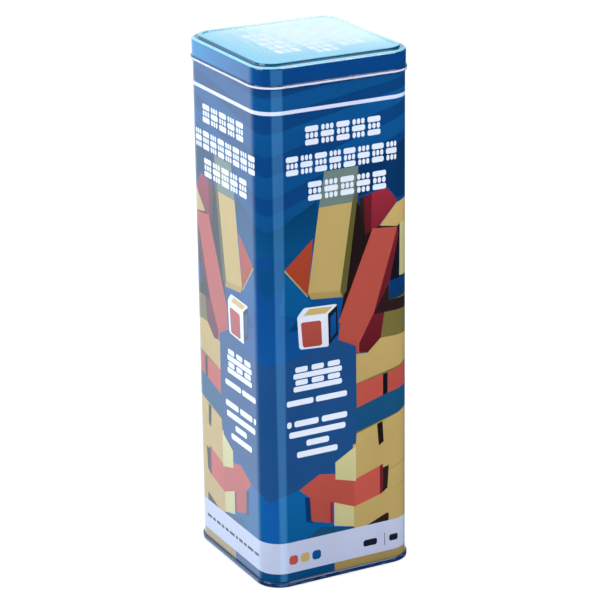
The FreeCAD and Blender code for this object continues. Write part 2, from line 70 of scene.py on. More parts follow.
# The print on one side of the tube. Each patch is (paint, shade at its foot, shade at its top,
# outline), and the outline is in millimetres: across from the side's middle, up from the foot.
# Later patches cover earlier ones. Every other side carries the mirrored picture, so that it
# runs on round the corners.
PATCHES = (
    ("blue", 1.0, 1.0, ((-42, 255.4), (42, 263.5), (42, 258), (-42, 246.5))),
    ("blue", 0.9, 1.15, ((-42, 237.5), (42, 252.5), (42, 246), (-42, 226))),
    ("blue", 0.9, 1.1, ((-42, 216), (42, 239), (42, 231), (-42, 205))),
    ("blue", 0.9, 1.1, ((-42, 196.5), (42, 224.5), (42, 217.5), (-42, 188))),
    ("sky", 0.75, 0.45, ((-42, 176.6), (-42, 188), (-30.6, 192.4), (-12.3, 202), (-13.1, 182.8),
                         (-30.6, 174))),
    ("blue", 0.8, 0.8, ((-42, 169.6), (-30.6, 174), (-14.9, 182.8), (-15.8, 179.3), (-30.6, 161.8),
                        (-42, 154.8))),
    ("shadow", 1.0, 1.0, ((9.3, 198.5), (19.2, 183.6), (24.5, 184.5), (14, 163.5), (3.5, 136.9),
                          (-0.9, 136.9), (1.8, 149.5))),
    ("navy", 0.5, 0.5, ((10.5, 215.1), (42, 226.5), (42, 196.8), (32.4, 196.8), (26.2, 203.8),
                        (10.5, 200.3))),
    ("slate", 0.18, 0.22, ((28, 155.6), (42, 157.4), (42, 144.3), (27.1, 143.4))),
    ("olive", 0.8, 0.8, ((27.1, 143.4), (42, 145.1), (42, 135.5), (22.8, 135.5))),
    ("shadow", 1.6, 1.6, ((14, 136), (42, 136), (42, 144), (27.5, 144), (27.5, 157), (42, 157),
                          (42, 184), (33.2, 182.5), (18.4, 183.2))),
    ("navy", 0.5, 0.6, ((28, 144.3), (42, 146), (42, 157.4), (28, 155.6))),
    ("ink", 0.6, 0.6, ((33.2, 181.9), (42, 183.6), (42, 155.6), (28, 153.9), (19.2, 139),
                       (19.2, 144.3))),
    ("cream", 0.8, 0.9, ((35.4, 183.6), (42, 183.6), (42, 155.6), (35, 155.6))),
    ("maroon", 0.9, 1.5, ((10.5, 199.4), (26.2, 202.9), (33.2, 195), (21.9, 183.6), (14, 180.1))),
    ("maroon", 0.45, 0.7, ((10.5, 199.4), (18, 201), (17.5, 181.6), (14, 180.1))),
    ("shadow", 1.2, 2.2, ((10.5, 199.4), (13.6, 200.1), (14.2, 180.2), (14, 180.1))),
    ("yellow", 1.0, 1.15, ((22.3, 183.6), (32.4, 194.1), (42, 195.5), (42, 182.8), (37.2, 183.6),
                           (33.2, 181.9))),
    ("sky", 0.9, 1.0, ((-34.6, 146.9), (-30.6, 167), (-15.8, 149.5), (-23.6, 143.4))),
    ("sky", 0.45, 0.6, ((-23.6, 143.4), (-15.8, 149.5), (-21, 136.9), (-28.9, 136.9))),
    ("orange", 0.9, 1.05, ((-30.6, 169.2), (-14.9, 182.8), (-17.9, 153.9))),
    ("cream", 0.5, 0.6, ((-30.6, 169.2), (-17.9, 153.9), (-18.4, 153.2), (-31.1, 168.3))),
    ("slate", 0.95, 1.0, ((-8.3, 216), (10.5, 216), (7, 198.1), (-11.4, 198.1))),
    ("slate", 0.55, 0.6, ((10.5, 216), (10.9, 203.8), (7.4, 198.1), (7, 198.1))),
    ("olive", 0.5, 0.55, ((7, 198.1), (10.5, 203.8), (3.5, 153), (1.3, 150), (0, 153.5))),
    ("yellow", 0.95, 1.0, ((-11.4, 198.1), (7, 198.1), (0, 153.5), (-17.9, 155.2))),
    ("yellow", 0.72, 0.78, ((-17.9, 155.2), (0, 153.5), (1.3, 150), (-16.2, 151.7))),
    ("maroon", 0.55, 0.8, ((33.2, 181.5), (34.1, 177.5), (28, 153.9), (18.4, 136.9), (14, 136.9))),
    ("red", 0.95, 1.0, ((18.4, 182.8), (33.2, 181.5), (18.4, 136.9), (-1.3, 136.9))),
    ("red", 0.95, 0.95, ((0, 137.8), (18.4, 137.8), (10.5, 118.5), (-0.9, 129.5))),
    ("red", 0.85, 0.9, ((-0.9, 129.5), (9.6, 125.1), (10.5, 118.5), (15.3, 118.1), (10.5, 116.4),
                        (7, 122.9), (-2.2, 125.5))),
    ("maroon", 0.5, 0.7, ((18.4, 137.8), (25.4, 137.8), (22.8, 124.7), (15.3, 118.1),
                          (10.5, 119.4), (10.5, 123.8))),
    ("navy", 0.5, 0.6, ((25.4, 137.8), (42, 137.8), (42, 135.2), (33.2, 136), (25.4, 136.9))),
    ("yellow", 0.75, 0.8, ((25.4, 136.9), (33.2, 136.5), (33.2, 124.7), (26.2, 123.8),
                           (23.2, 124.7))),
    ("olive", 0.6, 0.7, ((33.2, 136.5), (42, 136.9), (42, 124.7), (33.2, 124.2))),
    ("panel", 1.0, 1.0, ((-42, 119.5), (-1.8, 128.2), (8.8, 122.9), (8.8, 76.5), (8.3, 69.1),
                         (-3.5, 62.5), (-3.5, 57.3), (-12.7, 57.9), (-24.1, 51.6), (-42, 46.5))),
    ("olive", 0.8, 0.8, ((8.8, 75.7), (8.8, 118.5), (15.3, 118.1), (22.8, 124.7), (25, 138),
                         (42, 138), (42, 84))),
    ("yellow", 0.92, 1.0, ((8.8, 118.5), (15.3, 118.1), (22.8, 124.7), (42, 124.5), (42, 109.8),
                           (37.2, 108.5), (8.8, 102.8))),
    ("red", 1.0, 1.1, ((9, 102.8), (24.1, 105), (24.1, 93.2), (9.6, 89.7))),
    ("red", 0.95, 1.0, ((26.7, 105.4), (42, 108.5), (42, 96.7), (26.7, 94.5))),
    ("ink", 0.5, 0.5, ((24.1, 105), (26.7, 105.4), (26.7, 94.5), (24.1, 93.2))),
    ("teal", 0.9, 1.0, ((8.8, 89.2), (9.6, 89.7), (26.7, 94.5), (42, 96.7), (42, 84.4),
                        (37.2, 83.5), (8.8, 76.5))),
    ("yellow", 0.88, 1.0, ((8.8, 75.7), (42, 84.4), (42, 24), (6, 24), (6, 49.4), (8.3, 49.4),
                           (8.3, 69.1))),
    ("yellow", 0.74, 0.74, ((27.1, 52.9), (42, 56.2), (42, 55.3), (27.1, 52))),
    ("yellow", 0.78, 0.78, ((31, 42.2), (42, 44.8), (42, 44.1), (31, 41.5))),
    ("shadow", 1.5, 2.0, ((14.5, 24), (26.5, 28.6), (27.4, 27.6), (27.2, 24))),
    ("sky", 0.9, 1.1, ((-36.8, 49.4), (-24.1, 51.6), (-18.4, 46.4), (-17.5, 33.7), (-7, 29.7),
                       (-3.9, 27.5), (-3.9, 24), (-36.8, 24))),
    ("teal", 0.8, 0.8, ((-12, 29), (-3.9, 26.8), (7.2, 25), (7.2, 24), (-20, 24))),
    ("navy", 0.5, 0.5, ((-21, 47), (-17.1, 46), (-16.6, 32), (-20.4, 33.6))),
    ("cream", 0.85, 0.92, ((-4.4, 42.2), (7, 36.6), (7, 25), (-4.4, 27.8))),
    ("red", 0.86, 0.92, ((-18.2, 47), (-5.2, 42), (-5.2, 29.6), (-17.4, 33.2))),
    ("maroon", 1.0, 1.3, ((-6.6, 42.4), (-5.2, 41.8), (-5.2, 29.6), (-6.6, 30))),
    ("red", 0.92, 1.0, ((-24.1, 51.6), (-12.7, 57.9), (-3.1, 56), (8.4, 56), (8.4, 36.2),
                        (7.4, 35.9), (-4.4, 40.7), (-18.4, 46.4))),
    ("red", 1.05, 1.12, ((7, 51), (21.4, 56.2), (22.2, 55), (22.2, 39.6), (7.4, 35.9))),
    ("maroon", 0.7, 0.7, ((22.2, 55.6), (24, 56.4), (23.8, 40.4), (22.2, 39.6))),
    ("shadow", 1.6, 1.6, ((24, 54), (27.4, 54.9), (26.6, 42.4), (23.8, 40.4))),
    ("yellow", 0.92, 0.96, ((6.6, 70), (31.4, 76), (29, 57.4), (24.1, 56.1), (7, 50.7))),
    ("shadow", 1.0, 1.0, ((20.6, 78.7), (23.8, 79.6), (24.4, 68.4), (21.6, 66.6))),
    ("cream", 0.9, 1.0, ((-3.5, 62.5), (8.3, 69.1), (8.3, 49.9), (-3.5, 53.2))),
    ("band", 1.0, 1.02, ((-42, 24), (42, 24), (42, 7.2), (-42, 7.2))),
    ("sky", 0.6, 0.6, ((-42, 7.2), (-4.4, 7.2), (-4.4, 0.65), (-42, 0.65))),
    ("yellow", 0.65, 0.65, ((-4.4, 7.2), (42, 7.2), (42, 0.65), (-4.4, 0.65))),
)

# The die in the picture, in the same way. It isn't mirrored on the mirrored sides.
PICTURE_DIE = (
    ("white", 0.9, 0.95, ((-24.1, 143.4), (-23.4, 144.6), (-20.6, 147.6), (-19.6, 147.9),
                          (-2.8, 147), (-1.8, 146.4), (-7, 142.6))),
    ("yellow", 1.1, 1.15, ((-20.6, 143.9), (-17.4, 147), (-4, 146.1), (-8.3, 143.2))),
    ("white", 0.9, 0.95, ((-24.1, 143.4), (-7, 142.6), (-6.6, 141.8), (-6.7, 126.2), (-7.4, 125.5),
                          (-22.2, 126.6), (-23.2, 127.8))),
    ("red", 0.8, 0.95, ((-22.1, 139.9), (-21.2, 140.6), (-11.6, 140), (-10.8, 139), (-10.4, 127.6),
                        (-11.4, 126.8), (-20.4, 127.3), (-21.2, 128.4))),
    ("ink", 0.8, 0.9, ((-7, 142.6), (-1.8, 146.4), (-1.4, 131), (-6.7, 126.2))),
    ("navy", 0.9, 1.3, ((-5.6, 140.6), (-2.6, 143.2), (-2.4, 132.4), (-5.5, 128.8))),
)
DIE_MIDDLE = -12.75

# The white line under the lid, and where the pale band along the foot ends.
LINE_FOOT, LINE_TOP = 247.1, 249.0
BAND_TOP = 24.0

# The row of short dashes in the band on the mirrored sides, from the left.
DASHES_LEFT, DASH_GAP, DASH_FOOT, DASH_TOP = -31.0, 1.2, 14.5, 16.1
DASH_WIDTHS = (5.0, 6.4, 3.2, 4.4, 2.6, 5.8, 4.0, 3.0, 4.6, 3.4, 5.2)

# The darker rays on the lid, which spread from its front left corner. Angles are in degrees.
RAYS, RAY_START, RAY_PITCH, RAY_WIDTH = 12, 3.0, 8.0, 4.0
RAY_REACH, RAY_SHADE = 90.0, 0.85

# The side's ground is lighter below this level and darker this much further up.
GROUND_FOOT, GROUND_RISE = 60.0, 150.0

# Rows of little white stacks of bars above the picture: (left, right, foot, top, how many).
STACK_ROWS = (
    (-19.2, 23.6, 230.1, 240.1, 5),
    (-29.7, 33.2, 216.1, 226.1, 8),
    (-18.0, 26.7, 202.1, 212.1, 5),
)

# The same rows on the mirrored sides, where they sit nearer to the picture's corner.
MIRRORED_ROWS = (
    (-23.2, 23.2, 230.1, 240.1, 5),
    (-35.0, 31.8, 216.1, 226.1, 8),
    (-25.8, 22.8, 202.1, 212.1, 5),
)

# The rows on the lid, which run from its back to its front: (start, end, near, far, how many).
LID_ROWS = (
    (-22.0, 22.0, 13.5, 27.0, 5),
    (-29.0, 29.0, -4.0, 9.5, 8),
    (-22.0, 22.0, -21.5, -8.0, 5),
)

# White and dark bars lower down: (paint, left, right, foot, top).
BARS = (
    ("white", -30.6, -15.6, 97.4, 100.4), ("white", -14.2, 3.4, 97.4, 100.4),
    ("white", -30.6, -28.0, 86.0, 89.2), ("white", -26.4, -12.8, 86.0, 89.2),
    ("white", -11.0, 3.4, 86.0, 89.2),
    ("white", -29.4, 2.4, 80.4, 83.6),
    ("white", -19.8, -7.0, 74.8, 78.0),
    ("white", -25.2, -2.2, 69.2, 72.4),
    ("red", -30.4, -25.4, 11.6, 16.6), ("yellow", -23.8, -18.8, 11.6, 16.6),
    ("blue", -17.2, -12.2, 11.6, 16.6),
    ("ink", 12.4, 20.4, 12.2, 15.8),
    ("ink", 24.75, 25.05, 10.4, 17.6),
    ("ink", 27.6, 33.6, 12.2, 15.8),
)

# The big white pictogram of a small tower: (left, right, foot, top, bars in the layer).
TOWER_LAYERS = (
    (-26.6, 0.6, 104.6, 107.4, 1), (-26.6, 0.6, 108.0, 110.8, 3),
    (-26.6, 0.6, 111.4, 114.2, 1), (-26.6, 0.6, 114.8, 117.6, 3),
)


def length_property(name, text, default):
    """A length in metres for a property group."""
    return bpy.props.FloatProperty(name=name, description=text, default=default, min=0.0,
                                   subtype="DISTANCE", unit="LENGTH", precision=5)


def paint_property(name, text, default):
    """A paint for a property group, in linear red, green and blue."""
    return bpy.props.FloatVectorProperty(name=name, description=text, default=default, size=3,
                                         min=0.0, max=1.0, subtype="COLOR")


def number_property(name, text, default, subtype="NONE"):
    """A plain number or an angle for a property group."""
    unit = "ROTATION" if subtype == "ANGLE" else "NONE"
    return bpy.props.FloatProperty(name=name, description=text, default=default,
                                   subtype=subtype, unit=unit)


class TinSizes(bpy.types.PropertyGroup):
    """Sizes of the sheet-metal parts."""
    corner_round: length_property("Corner", "Outside radius of the tube's corners", 12.0 * MM)
    sheet_gauge: length_property("Sheet", "Thickness of the tinplate", 0.25 * MM)
    curl_radius: length_property("Curl", "Radius of the curl along the mouth", 0.9 * MM)
    seam_offset: length_property("Seam line", "From the back's middle to the seam line", 2.5 * MM)
    seam_line_width: length_property("Seam line width", "Width of the seam's groove", 0.35 * MM)
    seam_line_depth: length_property("Seam line depth", "Depth of the seam's groove", 0.1 * MM)
    rim_height: length_property("Rim", "Height of the base's rim", 2.6 * MM)
    rim_softening: length_property("Rim rounding", "Rounding of the rim's edges", 0.75 * MM)
    rim_web: length_property("Rim web", "Metal under the tube's foot", 0.6 * MM)
    base_recess: length_property("Recess", "Depth of the base panel from below", 2.4 * MM)
    base_step_in: length_property("Step", "From the tube to the base panel's step", 8.0 * MM)
    base_step_rise: length_property("Step rise", "Rise of the base panel's step", 0.6 * MM)
    seam_clearance: length_property("Seam gap", "Gap between the tube and the rim", 0.05 * MM)
    lid_clearance: length_property("Lid gap", "Gap between the tube and the skirt", 0.15 * MM)
    hem_height: length_property("Hem", "Height of the lid's folded hem", 2.2 * MM)
    hem_proud: length_property("Hem depth", "How far the hem stands out", 0.6 * MM)
    hem_softening: length_property("Hem rounding", "Rounding of the hem's edges", 0.55 * MM)
    shoulder_round: length_property("Shoulder", "Outside radius of the lid's shoulder", 1.4 * MM)
    groove_width: length_property("Groove", "Flat between the shoulder and the ridge", 1.8 * MM)
    ridge_rise: length_property("Ridge", "Height of the lid's ridge", 1.2 * MM)
    ridge_width: length_property("Ridge width", "Width of the ridge at its foot", 2.4 * MM)
    panel_dish: length_property("Dish", "Depth of the lid's panel below the ridge", 0.5 * MM)
    dent_depth: length_property("Waviness", "Depth of the sheet's slight waves", 0.10 * MM)


class Paints(bpy.types.PropertyGroup):
    """Paints of the print, the blocks and the die, and the painted highlight, shade, light and
    reflection on the lid.
    """
    navy: paint_property("Navy", "Ground of the print", (0.002, 0.060, 0.230))
    blue: paint_property("Blue", "Rays of the ground", (0.002, 0.072, 0.240))
    sky: paint_property("Sky", "Brightest rays", (0.001, 0.093, 0.278))
    teal: paint_property("Teal", "Blue-green bands", (0.007, 0.076, 0.184))
    slate: paint_property("Slate", "Grey-green, seen through the rows above",
                          (0.150, 0.210, 0.190))
    olive: paint_property("Olive", "Shaded sides of yellow blocks", (0.20, 0.17, 0.045))
    yellow: paint_property("Yellow", "Yellow blocks", (0.484, 0.346, 0.121))
    cream: paint_property("Cream", "Pale ends of blocks", (0.560, 0.520, 0.260))
    orange: paint_property("Orange", "Lit red faces", (0.360, 0.050, 0.020))
    red: paint_property("Red", "Red blocks", (0.430, 0.072, 0.053))
    maroon: paint_property("Maroon", "Shaded sides of red blocks", (0.20, 0.014, 0.026))
    shadow: paint_property("Shadow", "Gaps between the blocks", (0.014, 0.006, 0.006))
    panel: paint_property("Panel", "Plain shape behind the lower marks", (0.010, 0.064, 0.205))
    ink: paint_property("Ink", "Deepest shadows and dark marks", (0.010, 0.010, 0.022))
    white: paint_property("White", "Marks of the print", (0.730, 0.780, 0.900))
    # The same paint makes the pale band round the middle of the lid's hem.
    line: paint_property("Line", "Printed lines under and along the lid", (0.66, 0.68, 0.86))
    lid: paint_property("Lid", "Ground of the lid and the base", (0.001, 0.052, 0.215))
    band: paint_property("Band", "Pale band along the foot", (0.450, 0.490, 0.660))
    # Painted reflection: the pale colour that the lid's panel turns to towards its back.
    lid_far: paint_property("Lid, far side", "The lid's panel at its back", (0.720, 0.900, 0.900))
    # Painted highlight: the bright line that the lid's shoulder shows, put in as paint.
    shoulder: paint_property("Shoulder", "Pale print round the lid's shoulder",
                             (0.260, 0.680, 0.820))
    # Painted shade: the dark line in the lid's groove.
    groove: paint_property("Groove", "Print in the lid's groove", (0.004, 0.090, 0.210))
    # Painted light: the lighter blue that the lid's skirt turns to towards its left and back.
    lid_left: paint_property("Lid, left", "The lid's skirt towards its left and back",
                             (0.010, 0.230, 0.520))
    lid_panel: paint_property("Lid panel", "Ground of the lid's panel", (0.030, 0.460, 0.660))
    bare_wood: paint_property("Bare wood", "Worn edges of the blocks", (0.60, 0.42, 0.24))
    block_red: paint_property("Red stain", "Red wooden blocks", (0.52, 0.035, 0.030))
    block_yellow: paint_property("Yellow stain", "Yellow wooden blocks", (0.74, 0.46, 0.07))
    block_blue: paint_property("Blue stain", "Blue wooden blocks", (0.012, 0.050, 0.190))
    paper: paint_property("Paper", "Folded leaflet", (0.82, 0.81, 0.77))


class StageSettings(bpy.types.PropertyGroup):
    """Camera, lights and ground."""
    azimuth: number_property("Azimuth", "Camera's turn to the left", math.radians(-27.49), "ANGLE")
    elevation: number_property("Elevation", "Camera's height", math.radians(19.37), "ANGLE")
    roll: number_property("Roll", "Camera's lean", math.radians(-0.739), "ANGLE")
    place: bpy.props.FloatVectorProperty(
        name="Place", description="Where the camera stands, from the middle of the foot",
        default=(-0.5786, -1.1109, 0.5767), size=3, subtype="TRANSLATION", unit="LENGTH")
    lens: number_property("Lens", "Focal length for a 36 mm sensor, in millimetres", 156.7)
    world_glow: number_property("Surroundings", "Brightness of the surroundings", 0.9)
    key_power: number_property("Key light", "Power of the large right-hand panel, in watts", 9.5)
    side_power: number_property("Side light", "Power of the left-hand panel, in watts", 11.0)
    top_power: number_property("Top light", "Power of the panel overhead, in watts", 4.0)


def sizes():
    """The sheet-metal sizes."""
    return bpy.context.scene.tower_sizes


def paint(name, shade=1.0):
    """A paint by its name, made lighter or darker."""
    plain = getattr(bpy.context.scene.tower_paints, name)
    return tuple(min(1.0, channel * shade) for channel in plain)


# ---------------------------------------------------------------- materials


def node(tree, kind, inputs=None, **settings):
    """Adds a node. Inputs are values, or sockets to link from."""
    made = tree.nodes.new(kind)
    for name, setting in settings.items():
        setattr(made, name, setting)
    for key, source in (inputs or {}).items():
        if isinstance(source, bpy.types.NodeSocket):
            tree.links.new(source, made.inputs[key])
        else:
            made.inputs[key].default_value = source
    return made


def calc(tree, operation, a, b=0.0):
    """One arithmetic node's result."""
    return node(tree, "ShaderNodeMath", {0: a, 1: b}, operation=operation).outputs[0]


def step(tree, source, low, high):
    """0 below low and 1 above high, and smooth between."""
    made = node(tree, "ShaderNodeMapRange", {"Value": source, "From Min": low, "From Max": high},
                interpolation_type="SMOOTHSTEP")
    return made.outputs[0]


def between(tree, source, low, high):
    """Turns 0 to 1 into low to high."""
    made = node(tree, "ShaderNodeMapRange", {"Value": source, "To Min": low, "To Max": high})
    return made.outputs[0]


def blend_paint(tree, amount, first, second, way="MIX"):
    """Mixes two colours, each a value or a socket."""
    made = node(tree, "ShaderNodeMix", data_type="RGBA", blend_type=way)
    for socket, source in ((made.inputs[0], amount), (made.inputs[6], first),
                           (made.inputs[7], second)):
        if isinstance(source, bpy.types.NodeSocket):
            tree.links.new(source, socket)
        elif isinstance(source, (int, float)):
            socket.default_value = source
        else:
            socket.default_value = (*source[:3], 1.0)
    return made.outputs[2]


def cloudy(tree, places, stretch, detail=3.0):
    """Noise over the object's own coordinates. stretch is features per metre, each way."""
    scaled = node(tree, "ShaderNodeMapping", {"Vector": places, "Scale": stretch})
    made = node(tree, "ShaderNodeTexNoise", {"Vector": scaled.outputs[0], "Scale": 1.0,
                                             "Detail": detail})
    return made.outputs["Fac"]


def uneven(tree, height, distance, strength=1.0, after=None):
    """A bump's normal. distance is in metres."""
    links = {"Height": height, "Distance": distance, "Strength": strength}
    if after is not None:
        links["Normal"] = after
    return node(tree, "ShaderNodeBump", links).outputs[0]


def new_material(name):
    """An empty node material: (material, tree, shader, object coordinates)."""
    made = bpy.data.materials.new(f"{name}_finish")
    made.use_nodes = True
    tree = made.node_tree
    shader = tree.nodes["Principled BSDF"]
    places = tree.nodes.new("ShaderNodeTexCoord").outputs["Object"]
    return made, tree, shader, places


def connect(tree, shader, sources):
    """Links sockets to the shader's inputs, by name."""
    for name, source in sources.items():
        tree.links.new(source, shader.inputs[name])


def printed_tinplate(name, ground=None, line=None):
    """Glossy lacquer over print on sheet: waves in the sheet, grain in the print, worn edges.
    Without a ground, the print comes from the paint attribute. A line is a pale band in the line
    paint, given as the levels of its foot and top."""
    made, tree, shader, places = new_material(name)
    worn = node(tree, "ShaderNodeAttribute", attribute_name="wear").outputs["Fac"]
    if ground is None:
        colour = node(tree, "ShaderNodeAttribute", attribute_name="paint").outputs["Color"]
    else:
        colour = blend_paint(tree, 0.0, ground, ground)
    if line:
        level = node(tree, "ShaderNodeSeparateXYZ", {0: places}).outputs[2]
        blur = cloudy(tree, places, (300.0, 300.0, 300.0))
        ragged = calc(tree, "ADD", level, between(tree, blur, -0.1 * MM, 0.1 * MM))
        inside = calc(tree, "MULTIPLY", calc(tree, "GREATER_THAN", ragged, line[0]),
                      calc(tree, "LESS_THAN", ragged, line[1]))
        colour = blend_paint(tree, inside, colour, paint("line"))
    grain = cloudy(tree, places, (2600.0, 2600.0, 2600.0), 2.0)
    drift = cloudy(tree, places, (34.0, 34.0, 22.0))
    colour = blend_paint(tree, 1.0, colour, between(tree, grain, 0.93, 1.07), "MULTIPLY")
    colour = blend_paint(tree, 1.0, colour, between(tree, drift, 0.9, 1.1), "MULTIPLY")
    scratches = cloudy(tree, places, (240.0, 240.0, 900.0), 4.0)
    bare = calc(tree, "MULTIPLY", worn, step(tree, scratches, 0.56, 0.62))
    colour = blend_paint(tree, bare, colour, (0.62, 0.62, 0.61))
    rough = calc(tree, "ADD", between(tree, drift, 0.05, 0.12), calc(tree, "MULTIPLY", bare, 0.12))
    waves = cloudy(tree, places, (26.0, 26.0, 9.0), 1.0)
    level = uneven(tree, waves, sizes().dent_depth * 10, 0.5)
    level = uneven(tree, grain, 0.004 * MM, 0.35, level)
    connect(tree, shader, {"Base Color": colour, "Roughness": rough, "Metallic": bare,
                           "Normal": level})
    shader.inputs["IOR"].default_value = 1.5
    shader.inputs["Coat Weight"].default_value = 0.55
    shader.inputs["Coat Roughness"].default_value = 0.07
    return made


def bare_tinplate():
    """The unprinted inside of the sheet: dull metal with fine rolling lines."""
    made, tree, shader, places = new_material("bare_tinplate")
    rolled = cloudy(tree, places, (3200.0, 3200.0, 60.0), 2.0)
    stains = cloudy(tree, places, (45.0, 45.0, 45.0))
    colour = blend_paint(tree, stains, (0.66, 0.66, 0.65), (0.78, 0.77, 0.74))
    colour = blend_paint(tree, 1.0, colour, between(tree, rolled, 0.9, 1.06), "MULTIPLY")
    connect(tree, shader, {"Base Color": colour, "Roughness": between(tree, stains, 0.24, 0.42),
                           "Normal": uneven(tree, rolled, 0.006 * MM, 0.5)})
    shader.inputs["Metallic"].default_value = 1.0
    return made


def stained_wood(name, stain, along_x):
    """Stained and varnished beech: long grain, darker pores, bare wood on the worn edges."""
    made, tree, shader, places = new_material(name)
    long_way, cross_way = 22.0, 650.0
    stretch = (long_way, cross_way, cross_way) if along_x else (cross_way, long_way, cross_way)
    grain = cloudy(tree, places, stretch, 4.0)
    pores = cloudy(tree, places, tuple(3.2 * s for s in stretch), 2.0)
    board = cloudy(tree, places, (30.0, 30.0, 62.0), 1.0)
    rings = node(tree, "ShaderNodeTexWave",
                 {"Vector": places, "Scale": 190.0, "Distortion": 6.0, "Detail": 2.0,
                  "Detail Scale": 0.4},
                 wave_type="RINGS", rings_direction="X" if along_x else "Y").outputs["Fac"]
    facing = node(tree, "ShaderNodeSeparateXYZ", {
        0: node(tree, "ShaderNodeVectorMath",
                {0: node(tree, "ShaderNodeTexCoord").outputs["Normal"]},
                operation="ABSOLUTE").outputs[0]})
    widest = calc(tree, "MAXIMUM", facing.outputs[2],
                  calc(tree, "MAXIMUM", facing.outputs[0], facing.outputs[1]))
    on_edge = calc(tree, "SUBTRACT", 1.0, step(tree, widest, 0.72, 0.8))
    on_end = step(tree, facing.outputs[0 if along_x else 1], 0.9, 0.95)
    colour = blend_paint(tree, 1.0, (*stain, 1.0), between(tree, grain, 0.62, 1.3), "MULTIPLY")
    colour = blend_paint(tree, 1.0, colour, between(tree, board, 0.8, 1.2), "MULTIPLY")
    dark_pores = calc(tree, "MULTIPLY", step(tree, pores, 0.6, 0.72), 0.4)
    colour = blend_paint(tree, dark_pores, colour, tuple(0.35 * c for c in stain))
    end_rings = calc(tree, "MULTIPLY", on_end, calc(tree, "MULTIPLY", rings, 0.45))
    colour = blend_paint(tree, end_rings, colour, tuple(0.5 * c for c in stain))
    rubbed = calc(tree, "MULTIPLY", on_edge, step(tree, grain, 0.42, 0.6))
    colour = blend_paint(tree, calc(tree, "MULTIPLY", rubbed, 0.75), colour, paint("bare_wood"))
    rough = calc(tree, "ADD", between(tree, grain, 0.34, 0.5), calc(tree, "MULTIPLY", rubbed, 0.2))
    level = uneven(tree, grain, 0.12 * MM, 0.35)
    connect(tree, shader, {"Base Color": colour, "Roughness": rough, "Normal": level})
    shader.inputs["Coat Weight"].default_value = 0.2
    shader.inputs["Coat Roughness"].default_value = 0.25
    return made


def painted_die():
    """White gloss paint with a rounded square of colour on each face, a little worn."""
    made, tree, shader, places = new_material("painted_die")
    low, high = (Vector(corner) for corner in DIE_BOX)
    half = (high.x - low.x) / 2
    centred = node(tree, "ShaderNodeVectorMath", {0: places, 1: tuple((low + high) / 2)},
                   operation="SUBTRACT").outputs[0]
    unit = node(tree, "ShaderNodeVectorMath", {0: centred, 1: (half, half, half)},
                operation="DIVIDE").outputs[0]
    away = node(tree, "ShaderNodeSeparateXYZ", {
        0: node(tree, "ShaderNodeVectorMath", {0: unit}, operation="ABSOLUTE").outputs[0]}).outputs
    wobble = cloudy(tree, places, (420.0, 420.0, 420.0))
    colour = blend_paint(tree, wobble, (0.80, 0.80, 0.78), (0.88, 0.87, 0.84))
    for axis, name in enumerate(("block_blue", "block_red", "block_yellow")):
        others = [away[n] for n in range(3) if n != axis]
        past = [calc(tree, "MAXIMUM", calc(tree, "SUBTRACT", o, 0.5), 0.0) for o in others]
        corner = calc(tree, "SQRT", calc(tree, "ADD", calc(tree, "MULTIPLY", past[0], past[0]),
                                         calc(tree, "MULTIPLY", past[1], past[1])))
        ragged = calc(tree, "ADD", corner, between(tree, wobble, -0.008, 0.008))
        inside = calc(tree, "SUBTRACT", 1.0, step(tree, ragged, 0.125, 0.135))
        on_face = step(tree, away[axis], 0.985, 0.995)
        square = calc(tree, "MULTIPLY", inside, on_face)
        colour = blend_paint(tree, square, colour, paint(name, 1.1))
    scuffs = step(tree, cloudy(tree, places, (900.0, 900.0, 500.0), 4.0), 0.63, 0.7)
    colour = blend_paint(tree, calc(tree, "MULTIPLY", scuffs, 0.35), colour, (0.55, 0.5, 0.42))
    connect(tree, shader, {"Base Color": colour, "Roughness": between(tree, wobble, 0.2, 0.34),
                           "Normal": uneven(tree, wobble, 0.05 * MM, 0.4)})
    shader.inputs["Coat Weight"].default_value = 0.4
    return made


def leaflet_paper():
    """Matt paper with fibres, and pale grey rules where the lines of print would be."""
    made, tree, shader, places = new_material("leaflet_paper")
    fibres = cloudy(tree, places, (1800.0, 1500.0, 1800.0), 4.0)
    colour = blend_paint(tree, 1.0, paint("paper"), between(tree, fibres, 0.92, 1.06), "MULTIPLY")
    across = node(tree, "ShaderNodeSeparateXYZ", {0: places}).outputs
    lines = calc(tree, "SINE", calc(tree, "MULTIPLY", across[1], 2 * math.pi / 0.0034))
    breaks = cloudy(tree, places, (160.0, 294.0, 5.0), 0.0)
    margin = calc(tree, "MULTIPLY",
                  calc(tree, "LESS_THAN", calc(tree, "ABSOLUTE", across[0]), 0.029),
                  calc(tree, "LESS_THAN", calc(tree, "ABSOLUTE", across[1]), 0.029))
    ruled = calc(tree, "MULTIPLY", step(tree, lines, 0.45, 0.6), step(tree, breaks, 0.4, 0.42))
    ruled = calc(tree, "MULTIPLY", calc(tree, "MULTIPLY", ruled, margin), 0.55)
    colour = blend_paint(tree, ruled, colour, (0.3, 0.3, 0.32))
    connect(tree, shader, {"Base Color": colour, "Roughness": between(tree, fibres, 0.7, 0.9),
                           "Normal": uneven(tree, fibres, 0.02 * MM, 0.6)})
    return made


def finish(name, maker, *details):
    """A material, made once. The frame brings plain ones of its own, so these are marked."""
    return bpy.data.materials.get(f"{name}_finish") or maker(*details)


# ---------------------------------------------------------------- shells of sheet metal


def corner_centre():
    """How far the centres of the corner arcs lie from the middle, both ways."""
    return TUBE_BOX[1][0] - sizes().corner_round


def half_side():
    """Half of one side's developed length, to the middle of its corners."""
    return corner_centre() + sizes().corner_round * math.pi / 4


